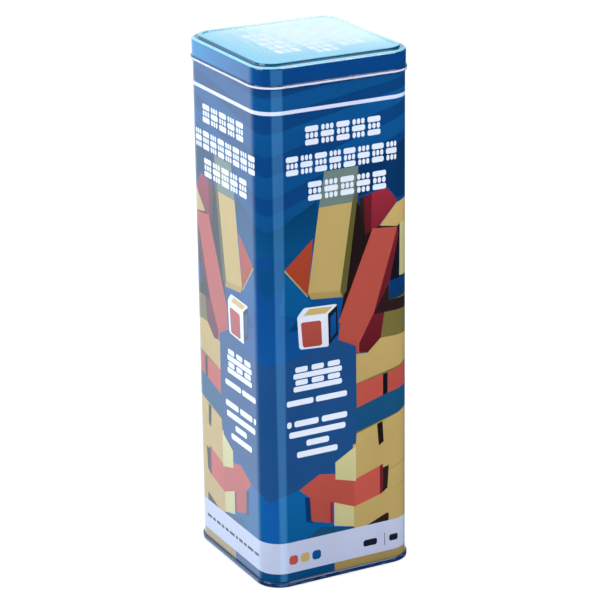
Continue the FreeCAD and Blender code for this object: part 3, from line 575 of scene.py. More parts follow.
def around(side, along):
    """Where a rounded square is: the point on its core and the outward direction. Sides 0 to 3
    are the left, front, right and back; along runs from left to right, seen from outside."""
    centre = corner_centre()
    flat = max(-centre, min(centre, along))
    angle = (along - flat) / sizes().corner_round
    core = Vector((flat, -centre, 0.0))
    outward = Vector((math.sin(angle), -math.cos(angle), 0.0))
    quarter = side - 1
    for _turn in range(quarter % 4):
        core = Vector((-core.y, core.x, 0.0))
        outward = Vector((-outward.y, outward.x, 0.0))
    return core, outward


def stations(flat_steps, arc_steps, extra=()):
    """Positions along one side where a shell has its upright edges."""
    centre, end = corner_centre(), half_side()
    found = {round(-centre + 2 * centre * n / flat_steps, 7) for n in range(flat_steps + 1)}
    for n in range(1, arc_steps + 1):
        reach = round(centre + (end - centre) * n / arc_steps, 7)
        found |= {reach, -reach}
    return sorted(found | {round(place, 7) for place in extra})


class Shell:
    """Collects faces, with their normals, paints and wear, and makes one mesh of them."""

    def __init__(self):
        self.points, self.lookup, self.faces, self.slots = [], {}, [], []
        self.normals, self.paints, self.wear = [], [], []

    def add(self, corners, normals, paints, slot=0, wear=0.0):
        """One face. Corners that fall together are dropped. Faces in different slots keep their
        corners apart, so that none shades its neighbour."""
        kept = []
        for corner, normal, colour in zip(corners, normals, paints):
            key = (slot, *(round(c * POINTS_PER_METRE) for c in corner))
            if key not in self.lookup:
                self.lookup[key] = len(self.points)
                self.points.append(tuple(corner))
            index = self.lookup[key]
            if all(index != other[0] for other in kept):
                kept.append((index, normal, colour))
        if len(kept) < 3:
            return
        self.faces.append([k[0] for k in kept])
        self.normals += [k[1].normalized() for k in kept]
        self.paints += [(*k[2][:3], 1.0) for k in kept]
        self.wear += [wear] * len(kept)
        self.slots.append(slot)

    def sweep(self, profile, places, slot=0, colour=PLAIN, wear=0.0):
        """Carries a profile round the tin. It is (outward, up) points, outside going up, and
        its sharp corners stay sharp. The colour is one paint or a list with one for each span,
        and each may depend on the place."""
        smooth = 0.8
        spans = []
        for (d0, z0), (d1, z1) in zip(profile, profile[1:]):
            length = math.hypot(d1 - d0, z1 - z0)
            spans.append(((z1 - z0) / length, -(d1 - d0) / length, length))
        for number, (first, second) in enumerate(zip(profile, profile[1:])):
            ends = []
            for near in (number - 1, number + 1):
                out, up, length = spans[number]
                if 0 <= near < len(spans):
                    other = spans[near]
                    if out * other[0] + up * other[1] > smooth:
                        out = out * length + other[0] * other[2]
                        up = up * length + other[1] * other[2]
                ends.append((out, up))
            for side in range(4):
                for left, right in zip(places, places[1:]):
                    corners, normals = [], []
                    for along, end in ((left, 0), (right, 0), (right, 1), (left, 1)):
                        core, outward = around(side, along)
                        reach, level = second if end else first
                        corners.append(core + outward * reach + Vector((0, 0, level)))
                        out, up = ends[end]
                        normals.append(outward * out + Vector((0, 0, up)))
                    amount = wear[number] if isinstance(wear, list) else wear
                    tone = colour[number] if isinstance(colour, list) else colour
                    shades = [tone(c) for c in corners] if callable(tone) else [tone] * 4
                    self.add(corners, normals, shades, slot, amount)

    def cap(self, level, places, upwards, slot=0):
        """Closes the square core at a level."""
        corners = []
        for side in range(4):
            for along in places[:-1]:
                core, _outward = around(side, along)
                corners.append(core + Vector((0, 0, level)))
        if not upwards:
            corners.reverse()
        normal = Vector((0, 0, 1.0 if upwards else -1.0))
        self.add(corners, [normal] * len(corners), [PLAIN] * len(corners), slot)

    def build(self, name, materials):
        """The finished object."""
        mesh = bpy.data.meshes.new(name)
        mesh.from_pydata(self.points, [], self.faces)
        for material in materials:
            mesh.materials.append(material)
        mesh.polygons.foreach_set("material_index", self.slots)
        mesh.polygons.foreach_set("use_smooth", [True] * len(self.faces))
        colours = mesh.attributes.new("paint", "FLOAT_COLOR", "CORNER")
        colours.data.foreach_set("color", [c for colour in self.paints for c in colour])
        wear = mesh.attributes.new("wear", "FLOAT", "CORNER")
        wear.data.foreach_set("value", self.wear)
        mesh.update()
        mesh.set_sharp_from_angle(angle=CREASE)
        mesh.normals_split_custom_set([tuple(n) for n in self.normals])
        mesh.update()
        made = bpy.data.objects.new(name, mesh)
        bpy.context.collection.objects.link(made)
        return made


def arc(centre, radius, start, end, steps):
    """Points on an arc in the (outward, up) plane. Angles are in degrees."""
    turns = [math.radians(start + (end - start) * n / steps) for n in range(steps + 1)]
    return [(centre[0] + radius * math.cos(t), centre[1] + radius * math.sin(t)) for t in turns]


# ---------------------------------------------------------------- the print


def bar(left, right, foot, top, softness=0.22):
    """Outline of a bar with softened corners, in millimetres."""
    cut = min(softness * (top - foot), 0.4 * (right - left))
    return ((left + cut, foot), (right - cut, foot), (right, foot + cut), (right, top - cut),
            (right - cut, top), (left + cut, top), (left, top - cut), (left, foot + cut))


def stack_row(left, right, foot, top, count):
    """Outlines of a row of little stacks, with long bars and ends of bars by turns."""
    pitch = (right - left) / count
    height = (top - foot) / 3
    found = []
    for number in range(count):
        x0 = left + (number + 0.08) * pitch
        x1 = left + (number + 0.92) * pitch
        for layer in range(3):
            z0 = foot + layer * height + 0.25
            found += [outline for _name, outline in
                      layer_marks(x0, x1, z0, z0 + height - 0.5, 3 if (layer + number) % 2 else 1)]
    return found


def mark_outlines(mirrored):
    """Every plain mark of the print, as (paint, outline). The mirrored sides have a row of
    short dashes along the band."""
    rows = MIRRORED_ROWS if mirrored else STACK_ROWS
    marks = [("white", outline) for row in rows for outline in stack_row(*row)]
    for left, right, foot, top, count in TOWER_LAYERS:
        marks += layer_marks(left, right, foot, top, count)
    marks += [(name, bar(*edges)) for name, *edges in BARS
              if not (mirrored and edges[3] < BAND_TOP)]
    if mirrored:
        left = DASHES_LEFT
        for width in DASH_WIDTHS:
            marks.append(("ink", bar(left, left + width, DASH_FOOT, DASH_TOP)))
            left += width + DASH_GAP
    return marks


def layer_marks(left, right, foot, top, count):
    """One layer of a little stack: a long bar, or the ends of three."""
    width = (right - left) / count
    gap = 0.08 * (right - left) if count > 1 else 0.0
    return [("white", bar(left + n * width + gap / 2, left + (n + 1) * width - gap / 2, foot, top))
            for n in range(count)]


def developed(across):
    """Position along a side for a place in the picture, which is as wide as the tin."""
    centre, reach, end = corner_centre() / MM, TUBE_BOX[1][0] / MM, half_side() / MM
    if abs(across) <= centre:
        return across
    beyond = (abs(across) - centre) * (end - centre) / (reach - centre)
    return math.copysign(centre + beyond, across)


def counterclockwise(outline):
    """The outline, turned round if it runs clockwise."""
    turn = sum(x0 * y1 - x1 * y0 for (x0, y0), (x1, y1) in
               zip(outline, [*outline[1:], outline[0]]))
    return list(outline) if turn > 0 else list(reversed(outline))


def ground_paint(level):
    """The print's ground, a little lighter lower down."""
    low, high = paint("navy", 1.4), paint("navy", 0.8)
    share = max(0.0, min(1.0, (level - GROUND_FOOT) / GROUND_RISE))
    return tuple(a + (b - a) * share for a, b in zip(low, high))


def panel_print(places):
    """Cuts the lid's flat square along its rays and marks, in millimetres, as flat_print does.
    The rows of marks run from the back to the front."""
    reach = corner_centre() / MM
    edge = [(max(-reach, min(reach, place / MM)), -reach) for place in places]
    edge = [spot for spot in edge if abs(spot[0]) < reach - 1e-6] + [(reach, -reach)]
    ring = []
    for _side in range(4):
        ring += edge
        edge = [(-y, x) for x, y in edge]
    outlines = [(None, ring)]
    for number in range(RAYS):
        start = math.radians(RAY_START + number * RAY_PITCH)
        spread = [(-reach + RAY_REACH * math.cos(t), -reach + RAY_REACH * math.sin(t))
                  for t in (start, start + math.radians(RAY_WIDTH))]
        outlines.append((RAY_SHADE, clip([(-reach, -reach), *spread], reach)))
    for row in LID_ROWS:
        outlines += [("white", [(z, -x) for x, z in outline]) for outline in stack_row(*row)]
    points, faces = [], []
    for _what, outline in outlines:
        faces.append(list(range(len(points), len(points) + len(outline))))
        points += [Vector(p) for p in counterclockwise(outline)]
    spots, _edges, cells, _v, _e, sources = delaunay_2d_cdt(points, [], faces, 0, 1e-5)
    pieces = []
    for cell, source in zip(cells, sources):
        if source:
            corners = [spots[n] for n in cell]
            what = outlines[max(source)][0]
            if what == "white":
                colours = [paint("white")] * len(corners)
            else:
                # The panel's ground carries the painted reflection towards its back right corner.
                colours = [lid_top_with_painted_reflection(c.x, c.y, what or 1.0) for c in corners]
            pieces.append((corners, colours))
    return pieces


def lid_top_with_painted_reflection(x, y, shade=1.0):
    """The lid's top, with a painted reflection that makes it paler towards its back right corner.
    The place is in millimetres.
    """
    reach = TUBE_BOX[1][0] / MM
    back, aside = (x + y) / (2 * reach), abs(x - y) / (2 * reach)
    share = max(0.0, min(1.0, 0.75 + back - 0.55 * aside))
    share *= share * (3.0 - 2.0 * share)
    near, far = paint("lid_panel", shade), paint("lid_far", 0.5 + 0.5 * shade)
    return tuple(a + (b - a) * share for a, b in zip(near, far))


def clip(outline, reach):
    """The part of a convex outline that lies inside the square."""
    for axis, sign in ((0, 1), (0, -1), (1, 1), (1, -1)):
        kept = []
        for first, second in zip(outline, [*outline[1:], outline[0]]):
            a, b = reach - sign * first[axis], reach - sign * second[axis]
            if a >= 0:
                kept.append(first)
            if (a > 0 > b) or (a < 0 < b):
                share = a / (a - b)
                kept.append(tuple(p + (q - p) * share for p, q in zip(first, second)))
        outline = kept
    return outline


def flat_print(places, foot, top, mirrored):
    """Cuts one side's developed rectangle along the picture's outlines, in millimetres:
    a list of (corners, paint at each corner)."""
    outlines = [(name, low, high, [(developed(x), z) for x, z in outline])
                for name, low, high, outline in PATCHES]
    outlines += [(name, low, high, [(2 * DIE_MIDDLE - x if mirrored else x, z) for x, z in outline])
                 for name, low, high, outline in PICTURE_DIE]
    end = half_side() / MM
    outlines.append(("line", 1.0, 1.0, [(-end, LINE_FOOT), (end, LINE_FOOT), (end, LINE_TOP),
                                        (-end, LINE_TOP)]))
    outlines += [(name, 1.0, 1.0, [(developed(x), z) for x, z in outline])
                 for name, outline in mark_outlines(mirrored)]
    points, edges, faces = [], [], []
    for _name, _low, _high, outline in outlines:
        start = len(points)
        points += [Vector(p) for p in counterclockwise(outline)]
        faces.append(list(range(start, start + len(outline))))
    for along in places:
        start = len(points)
        points += [Vector((along / MM, foot)), Vector((along / MM, top))]
        edges.append((start, start + 1))
    found = delaunay_2d_cdt(points, edges, faces, 0, 1e-5)
    spots, _edges, cells, _v, _e, sources = found
    pieces = []
    for cell, source in zip(cells, sources):
        corners = [spots[n] for n in cell]
        middle = sum(corners, Vector((0, 0))) / len(corners)
        if not (foot < middle.y < top and abs(middle.x) < end):
            continue
        if source:
            name, low, high, outline = outlines[max(source)]
            levels = [z for _x, z in outline]
            rise = max(levels) - min(levels)
            shades = [low + (high - low) * (c.y - min(levels)) / rise for c in corners]
            colours = [paint(name, shade) for shade in shades]
        else:
            colours = [ground_paint(c.y) for c in corners]
        pieces.append((corners, colours))
    return pieces


# ---------------------------------------------------------------- swept beads, by nodes


def bead_tree():
    """Geometry Nodes: a bead of rounded section along a rounded square."""
    tree = bpy.data.node_groups.get("rounded_square_bead")
    if tree:
        return tree
    tree = bpy.data.node_groups.new("rounded_square_bead", "GeometryNodeTree")
    face = tree.interface
    for name, kind in (("Side", "NodeSocketFloat"), ("Corner", "NodeSocketFloat"),
                       ("Level", "NodeSocketFloat"), ("Bead Width", "NodeSocketFloat"),
                       ("Bead Height", "NodeSocketFloat"), ("Bead Round", "NodeSocketFloat"),
                       ("Finish", "NodeSocketMaterial")):
        face.new_socket(name, in_out="INPUT", socket_type=kind)
    face.new_socket("Bead", in_out="OUTPUT", socket_type="NodeSocketGeometry")
    given = tree.nodes.new("NodeGroupInput").outputs
    path = node(tree, "GeometryNodeCurvePrimitiveQuadrilateral",
                {"Width": given["Side"], "Height": given["Side"]})
    path = node(tree, "GeometryNodeFilletCurve",
                {"Curve": path.outputs[0], "Count": 20, "Radius": given["Corner"]}, mode="POLY")
    lift = node(tree, "ShaderNodeCombineXYZ", {2: given["Level"]})
    path = node(tree, "GeometryNodeTransform",
                {"Geometry": path.outputs[0], "Translation": lift.outputs[0]})
    path = node(tree, "GeometryNodeSetCurveNormal", {"Curve": path.outputs[0]}, mode="Z_UP")
    section = node(tree, "GeometryNodeCurvePrimitiveQuadrilateral",
                   {"Width": given["Bead Width"], "Height": given["Bead Height"]})
    section = node(tree, "GeometryNodeFilletCurve",
                   {"Curve": section.outputs[0], "Count": 6, "Radius": given["Bead Round"],
                    "Limit Radius": True}, mode="POLY")
    bead = node(tree, "GeometryNodeCurveToMesh",
                {"Curve": path.outputs[0], "Profile Curve": section.outputs[0]})
    bead = node(tree, "GeometryNodeSetShadeSmooth", {"Geometry": bead.outputs[0]})
    bead = node(tree, "GeometryNodeRealizeInstances", {"Geometry": bead.outputs[0]})
    bead = node(tree, "GeometryNodeSetMaterial",
                {"Geometry": bead.outputs[0], "Material": given["Finish"]})
    result = tree.nodes.new("NodeGroupOutput")
    tree.links.new(bead.outputs[0], result.inputs[0])
    return tree


def bead(name, reach, corner, level, width, height, softness, material, wear):
    """A bead as a plain mesh. reach, corner and level are those of its middle line."""
    made = bpy.data.objects.new(name, bpy.data.meshes.new(name))
    bpy.context.collection.objects.link(made)
    tree = bead_tree()
    maker = made.modifiers.new("bead", "NODES")
    maker.node_group = tree
    given = {"Side": 2 * reach, "Corner": corner, "Level": level, "Bead Width": width,
             "Bead Height": height, "Bead Round": softness, "Finish": material}
    for item in tree.interface.items_tree:
        if item.in_out == "INPUT":
            maker[item.identifier] = given[item.name]
    graph = bpy.context.evaluated_depsgraph_get()
    mesh = bpy.data.meshes.new_from_object(made.evaluated_get(graph))
    made.modifiers.remove(maker)
    made.data = mesh
    mesh.name = name
    if signed_volume(mesh) < 0:
        mesh.flip_normals()
    worn = mesh.attributes.new("wear", "FLOAT", "POINT")
    worn.data.foreach_set("value", [wear] * len(mesh.vertices))
    return made


def signed_volume(mesh):
    """Volume inside a closed mesh, negative if it is inside out."""
    total = 0.0
    for face in mesh.polygons:
        corners = [mesh.vertices[n].co for n in face.vertices]
        for second, third in zip(corners[1:], corners[2:]):
            total += corners[0].dot(second.cross(third)) / 6
    return total


def prism_sides(count, rows):
    """The side faces of a prism, whose points are rows + 1 outlines of count points each."""
    return [[r * count + n, r * count + (n + 1) % count, (r + 1) * count + (n + 1) % count,
             (r + 1) * count + n] for r in range(rows) for n in range(count)]


def closed_piece(name, points, faces, material):
    """An object of one material, turned so that its faces point outwards."""
    mesh = bpy.data.meshes.new(name)
    mesh.from_pydata(points, [], faces)
    mesh.materials.append(material)
    if signed_volume(mesh) < 0:
        mesh.flip_normals()
    made = bpy.data.objects.new(name, mesh)
    bpy.context.collection.objects.link(made)
    return made


# ---------------------------------------------------------------- operators


class TOWER_OT_tube(bpy.types.Operator):
    """Printed tube with its side seam, bare inside"""
    bl_idname = "tower.tube"
    bl_label = "Printed tube"
    bl_options = {"REGISTER", "UNDO"}

    def execute(self, context):
        s = context.scene.tower_sizes
        line = (s.seam_offset, s.seam_offset + s.seam_line_width)
        soft = 0.25 * MM
        places = stations(8, 10, (line[0] - soft, *line, line[1] + soft))
        foot = TUBE_BOX[0][2]
        curl_level = TUBE_BOX[1][2] - s.curl_radius
        outside, inside = s.corner_round, s.corner_round - s.sheet_gauge
        shell = Shell()
        for side in range(4):
            mirrored = side % 2 == 0
            for corners, colours in flat_print(places, foot / MM, curl_level / MM, mirrored):
                spots, normals = [], []
                for corner in corners:
                    along = corner.x * MM * (-1 if mirrored else 1)
                    core, outward = around(side, along)
                    sunk = s.seam_line_depth if side == 3 and self.on_line(along, line) else 0.0
                    spots.append(core + outward * (outside - sunk) + Vector((0, 0, corner.y * MM)))
                    normals.append(outward)
                shades = list(colours)
                if side == 3 and all(self.on_line(c.x * MM, line) for c in corners):
                    shades = [tuple(0.3 * c for c in shade) for shade in shades]
                if mirrored:
                    spots.reverse()
                    normals.reverse()
                    shades.reverse()
                shell.add(spots, normals, shades)
        shell.sweep([(outside, curl_level), (inside, curl_level), (inside, foot),
                     (outside, foot)], places, slot=1)
        tube = shell.build("tin_tube", [finish("tube_print", printed_tinplate, "tube_print"),
                                        finish("bare_tinplate", bare_tinplate)])
        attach(tube, "tin")
        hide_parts("tin_body")
        return {"FINISHED"}

    @staticmethod
    def on_line(along, line):
        """True on the seam line, its edges included."""
        return line[0] - 1e-6 <= along <= line[1] + 1e-6


class TOWER_OT_mouth(bpy.types.Operator):
    """Curl along the tube's mouth and the lock seam inside its back"""
    bl_idname = "tower.mouth"
    bl_label = "Mouth and seam"
    bl_options = {"REGISTER", "UNDO"}

    def execute(self, context):
        s = context.scene.tower_sizes
        tinplate = finish("bare_tinplate", bare_tinplate)
        middle = s.corner_round - s.curl_radius
        curl = bead("mouth_curl", corner_centre() + middle, middle,
                    TUBE_BOX[1][2] - s.curl_radius, 2 * s.curl_radius, 2 * s.curl_radius,
                    s.curl_radius, tinplate, 0.0)
        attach(curl, "tin")
        seam = self.lock_seam(s, tinplate)
        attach(seam, "tin")
        return {"FINISHED"}

    @staticmethod
    def lock_seam(s, tinplate):
        """A flat folded strip with pressed edges, up the inside of the back."""
        inner = TUBE_BOX[1][1] - s.sheet_gauge
        foot, top = BASE_BOX[1][2], TUBE_BOX[1][2] - 2 * s.curl_radius
        half, depth, bevel = s.seam_offset, 0.6 * MM, 0.3 * MM
        outline = [(-half, inner + 0.05 * MM), (-half, inner - depth + bevel),
                   (-half + bevel, inner - depth), (half - bevel, inner - depth),
                   (half, inner - depth + bevel), (half, inner + 0.05 * MM)]
        count, rows = len(outline), 40
        levels = [foot + (top - foot) * n / rows for n in range(rows + 1)]
        points = [(x, y, z) for z in levels for x, y in outline]
        faces = prism_sides(count, rows)
        faces += [list(range(count - 1, -1, -1)), [rows * count + n for n in range(count)]]
        return closed_piece("lock_seam", points, faces, tinplate)


class TOWER_OT_base(bpy.types.Operator):
    """Seamed base: panel, step and rolled rim"""
    bl_idname = "tower.base"
    bl_label = "Base"
    bl_options = {"REGISTER", "UNDO"}

    def execute(self, context):
        s = context.scene.tower_sizes
        centre = corner_centre()
        rim = BASE_BOX[1][0] - centre
        slot_out = s.corner_round + s.seam_clearance
        slot_in = s.corner_round - s.sheet_gauge - s.seam_clearance
        panel = s.base_recess + s.sheet_gauge
        step_out = s.corner_round - s.sheet_gauge - s.base_step_in
        floor = BASE_BOX[1][2]
        soft, crease, lip, roll = s.rim_softening, 0.35 * MM, 0.3 * MM, 0.6 * MM
        rim_wear = 0.1
        wall_in = slot_in - s.sheet_gauge
        under = s.base_recess + s.base_step_rise
        step_in = step_out - s.sheet_gauge
        underside = [(0.0, under), (step_in, under), (step_in, s.base_recess),
                     (wall_in - crease, s.base_recess)]
        underside += arc((wall_in - crease, s.base_recess - crease), crease, 90, 0, 4)[1:]
        underside += arc((wall_in + lip, lip), lip, 180, 270, 4)
        outside = arc((rim - soft, soft), soft, -90, 0, 8)
        outside += arc((rim - roll, s.rim_height - roll), roll, 0, 90, 8)
        inside = [(slot_out, s.rim_height), (slot_out, s.rim_web), (slot_in, s.rim_web),
                  (slot_in, panel), (step_out + lip, panel), (step_out, floor), (0.0, floor)]
        places = stations(8, 10)
        shell = Shell()
        shell.cap(under, places, False)
        wear = [0.0] * (len(underside) - 1) + [rim_wear] * len(outside) + [0.0] * len(inside)
        shell.sweep(underside + outside + inside[:2], places, wear=wear)
        shell.sweep(inside[1:], places, slot=1)
        shell.cap(floor, places, True, slot=1)
        lacquer = finish("base_lacquer", printed_tinplate, "base_lacquer", paint("lid", 0.5))
        base = shell.build("tin_bottom", [lacquer, finish("bare_tinplate", bare_tinplate)])
        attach(base, "tin")
        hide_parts("tin_base")
        return {"FINISHED"}


class TOWER_OT_lid(bpy.types.Operator):
    """Drawn lid with its shoulder, groove, ridge, dished panel and folded hem"""
    bl_idname = "tower.lid"
    bl_label = "Lid"
    bl_options = {"REGISTER", "UNDO"}

    def execute(self, context):
        s = context.scene.tower_sizes
        foot, top = LID_BOX[0][2], LID_BOX[1][2]
        bore = s.corner_round + s.lid_clearance
        skirt = bore + s.sheet_gauge
        shoulder = top - s.ridge_rise
        panel = top - s.panel_dish
        hollow = panel - s.sheet_gauge
        ridge = skirt - s.shoulder_round - s.groove_width
        crest, fall, lip = 0.5 * MM, 0.55 * MM, 0.25 * MM
        gutter, brow, crease = 0.35 * MM, 0.3 * MM, 0.15 * MM
        dish = ridge - s.ridge_width
        inner_round = s.shoulder_round - s.sheet_gauge
        lower = shoulder - s.sheet_gauge
        within = ridge - s.sheet_gauge
        inside = [(0.0, hollow), (within, hollow), (within, lower), (bore - inner_round, lower)]
        inside += arc((bore - inner_round, lower - inner_round), inner_round, 90, 0, 6)[1:]
        inside += [(bore, foot + s.hem_height), (bore, foot + lip)]
        outside = [(skirt, foot + lip), (skirt, foot + s.hem_height)]
        outside += arc((skirt - s.shoulder_round, shoulder - s.shoulder_round), s.shoulder_round,
                       0, 90, 10)
        outside += arc((ridge + gutter, shoulder + gutter), gutter, 270, 205, 4)
        outside += arc((ridge - fall, top - crest), crest, 25, 90, 6)
        outside += arc((dish + brow, top - brow), brow, 90, 170, 5)
        outside += arc((dish - crease, panel + crease), crease, 0, -90, 3)
        outside += [(0.0, panel)]
        places = stations(8, 10)
        shell = Shell()
        shell.cap(hollow, places, False, slot=1)
        shell.sweep(inside + outside[:1], places, slot=1)
        skirt_spans, shoulder_spans, groove_spans = 5, 7, 7
        crest_at = skirt_spans + shoulder_spans + groove_spans
        worn = [0.35 if skirt_spans <= n < 10 or crest_at <= n < crest_at + 7 else 0.0
                for n in range(len(outside))]

        # Painted light: the skirt's paint turns lighter towards its left and back, standing in for
        # the light it catches there.
        def skirt_painted_light_at(spot):
            share = max(0.0, min(1.0, (spot.y - spot.x) / (2 * TUBE_BOX[1][0])))
            return tuple(a + (b - a) * share for a, b in zip(paint("lid"), paint("lid_left")))

        # The top's paint carries the painted reflection towards its back right corner.
        def top_with_reflection_at(spot):
            return lid_top_with_painted_reflection(spot.x / MM, spot.y / MM)

        # The shoulder spans carry a painted highlight.
        tones = [skirt_painted_light_at] * skirt_spans + [paint("shoulder")] * shoulder_spans
        # The groove spans carry a painted shade.
        tones += [paint("groove")] * groove_spans + [top_with_reflection_at] * (len(outside) - crest_at)
        shell.sweep(outside, places, wear=worn, colour=tones)
        for corners, colours in panel_print(places):
            spots = [Vector((c.x * MM, c.y * MM, panel)) for c in corners]
            shell.add(spots, [Vector((0, 0, 1.0))] * len(spots), colours)
        # The lid's lacquer shows its print together with the painted highlight, shade, light and
        # reflection held in the paint attribute.
        lacquer = finish("lid_print", printed_tinplate, "lid_print")
        lid = shell.build("slip_lid", [lacquer, finish("bare_tinplate", bare_tinplate)])
        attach(lid, "lid")
        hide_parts("lid")

        # A pale band round the middle of the hem, on a darker ground.
        line = (foot + 0.65 * MM, foot + 1.6 * MM)
        edging = finish("hem_print", printed_tinplate, "hem_print", paint("lid", 0.6), line)
        thick = s.sheet_gauge + s.hem_proud
        middle = bore + thick / 2
        hem = bead("lid_hem", corner_centre() + middle, middle, foot + s.hem_height / 2,
                   thick, s.hem_height, min(s.hem_softening, thick / 2), edging, 0.15)
        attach(hem, "lid")
        return {"FINISHED"}


class TOWER_OT_blocks(bpy.types.Operator):
    """Stained wood for the forty-eight blocks, with the grain along each"""
    bl_idname = "tower.blocks"
    bl_label = "Blocks"
    bl_options = {"REGISTER", "UNDO"}

    def execute(self, context):
        for name in BLOCK_NODES:
            low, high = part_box(name)
            along_x = high[0] - low[0] > high[1] - low[1]
            colour = name.rsplit("_", 1)[1]
            title = f"{colour}_wood_{'x' if along_x else 'y'}"
            wood = finish(title, stained_wood, title, paint(f"block_{colour}"), along_x)
            wear_material(name, wood)
        return {"FINISHED"}


class TOWER_OT_die(bpy.types.Operator):
    """Gloss paint and squares of colour for the die"""
    bl_idname = "tower.die"
    bl_label = "Die"
    bl_options = {"REGISTER", "UNDO"}

    def execute(self, context):
        wear_material("colour_die", finish("painted_die", painted_die))
        return {"FINISHED"}


def wear_material(name, material):
    """Puts a material in every slot of a node that keeps its own mesh."""
    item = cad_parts[name]
    if not item.material_slots:
        raise RuntimeError(f"{name} has no material slot")
    for slot in item.material_slots:
        slot.material = material


class TOWER_OT_leaflet(bpy.types.Operator):
    """Rules leaflet: one sheet in four folded layers"""
    bl_idname = "tower.leaflet"
    bl_label = "Leaflet"
    bl_options = {"REGISTER", "UNDO"}

    def execute(self, context):
        low, high = (Vector(corner) for corner in LEAFLET_BOX)
        layers, sheet = 4, 0.14 * MM
        pitch = (high.z - low.z - sheet) / (layers - 1)
        fold = pitch / 2
        left, right = low.x + fold + sheet / 2, high.x - fold - sheet / 2
        line = []
        for layer in range(layers):
            level = low.z + sheet / 2 + layer * pitch
            xs = [right + (left - right) * n / 16 for n in range(17)]
            if layer % 2:
                xs.reverse()
            bow = 0.25 * (pitch - sheet)
            shift = bow if layer == 0 else -bow if layer == layers - 1 else 0.0
            line += [(x, level + shift * math.sin(math.pi * n / 16) ** 2) for n, x in enumerate(xs)]
            if layer < layers - 1:
                out = -1 if layer % 2 == 0 else 1
                turn_x = left if layer % 2 == 0 else right
                line += [(turn_x + out * fold * math.sin(math.pi * n / 8),
                          level + fold - fold * math.cos(math.pi * n / 8)) for n in range(1, 8)]
        made = self.ribbon(line, sheet, low.y, high.y)
        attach(made, "rules_leaflet")
        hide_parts("rules_leaflet")
        return {"FINISHED"}

    @staticmethod
    def ribbon(line, sheet, near, far):
        """Thickens a folded line and draws it out from near to far."""
        offsets = []
        for number, (x, z) in enumerate(line):
            before, after = line[max(number - 1, 0)], line[min(number + 1, len(line) - 1)]
            dx, dz = after[0] - before[0], after[1] - before[1]
            length = math.hypot(dx, dz)
            offsets.append((-dz / length * sheet / 2, dx / length * sheet / 2))
        outline = [(x + ox, z + oz) for (x, z), (ox, oz) in zip(line, offsets)]
        outline += [(x - ox, z - oz) for (x, z), (ox, oz) in reversed(list(zip(line, offsets)))]
        count, rows = len(outline), 8
        points = [(x, near + (far - near) * r / rows, z) for r in range(rows + 1)
                  for x, z in outline]
        faces = prism_sides(count, rows)
        half = count // 2
        for start, flip in ((0, False), (rows * count, True)):
            for n in range(half - 1):
                quad = [start + n, start + n + 1, start + count - 2 - n, start + count - 1 - n]
                faces.append(quad if flip else quad[::-1])
        paper = finish("leaflet_paper", leaflet_paper)
        return closed_piece("folded_leaflet", points, faces, paper)


def add_panel(name, place, aim, width, height, power, colour=(1.0, 1.0, 1.0)):
    """A large soft light panel that faces a point."""
    light = bpy.data.lights.new(name, "AREA")
    light.shape = "RECTANGLE"
    light.size, light.size_y = width, height
    light.energy = power
    light.color = colour
    made = bpy.data.objects.new(name, light)
    made.location = place
    made.rotation_euler = (Vector(place) - Vector(aim)).to_track_quat("Z", "Y").to_euler()
    bpy.context.collection.objects.link(made)
    return made


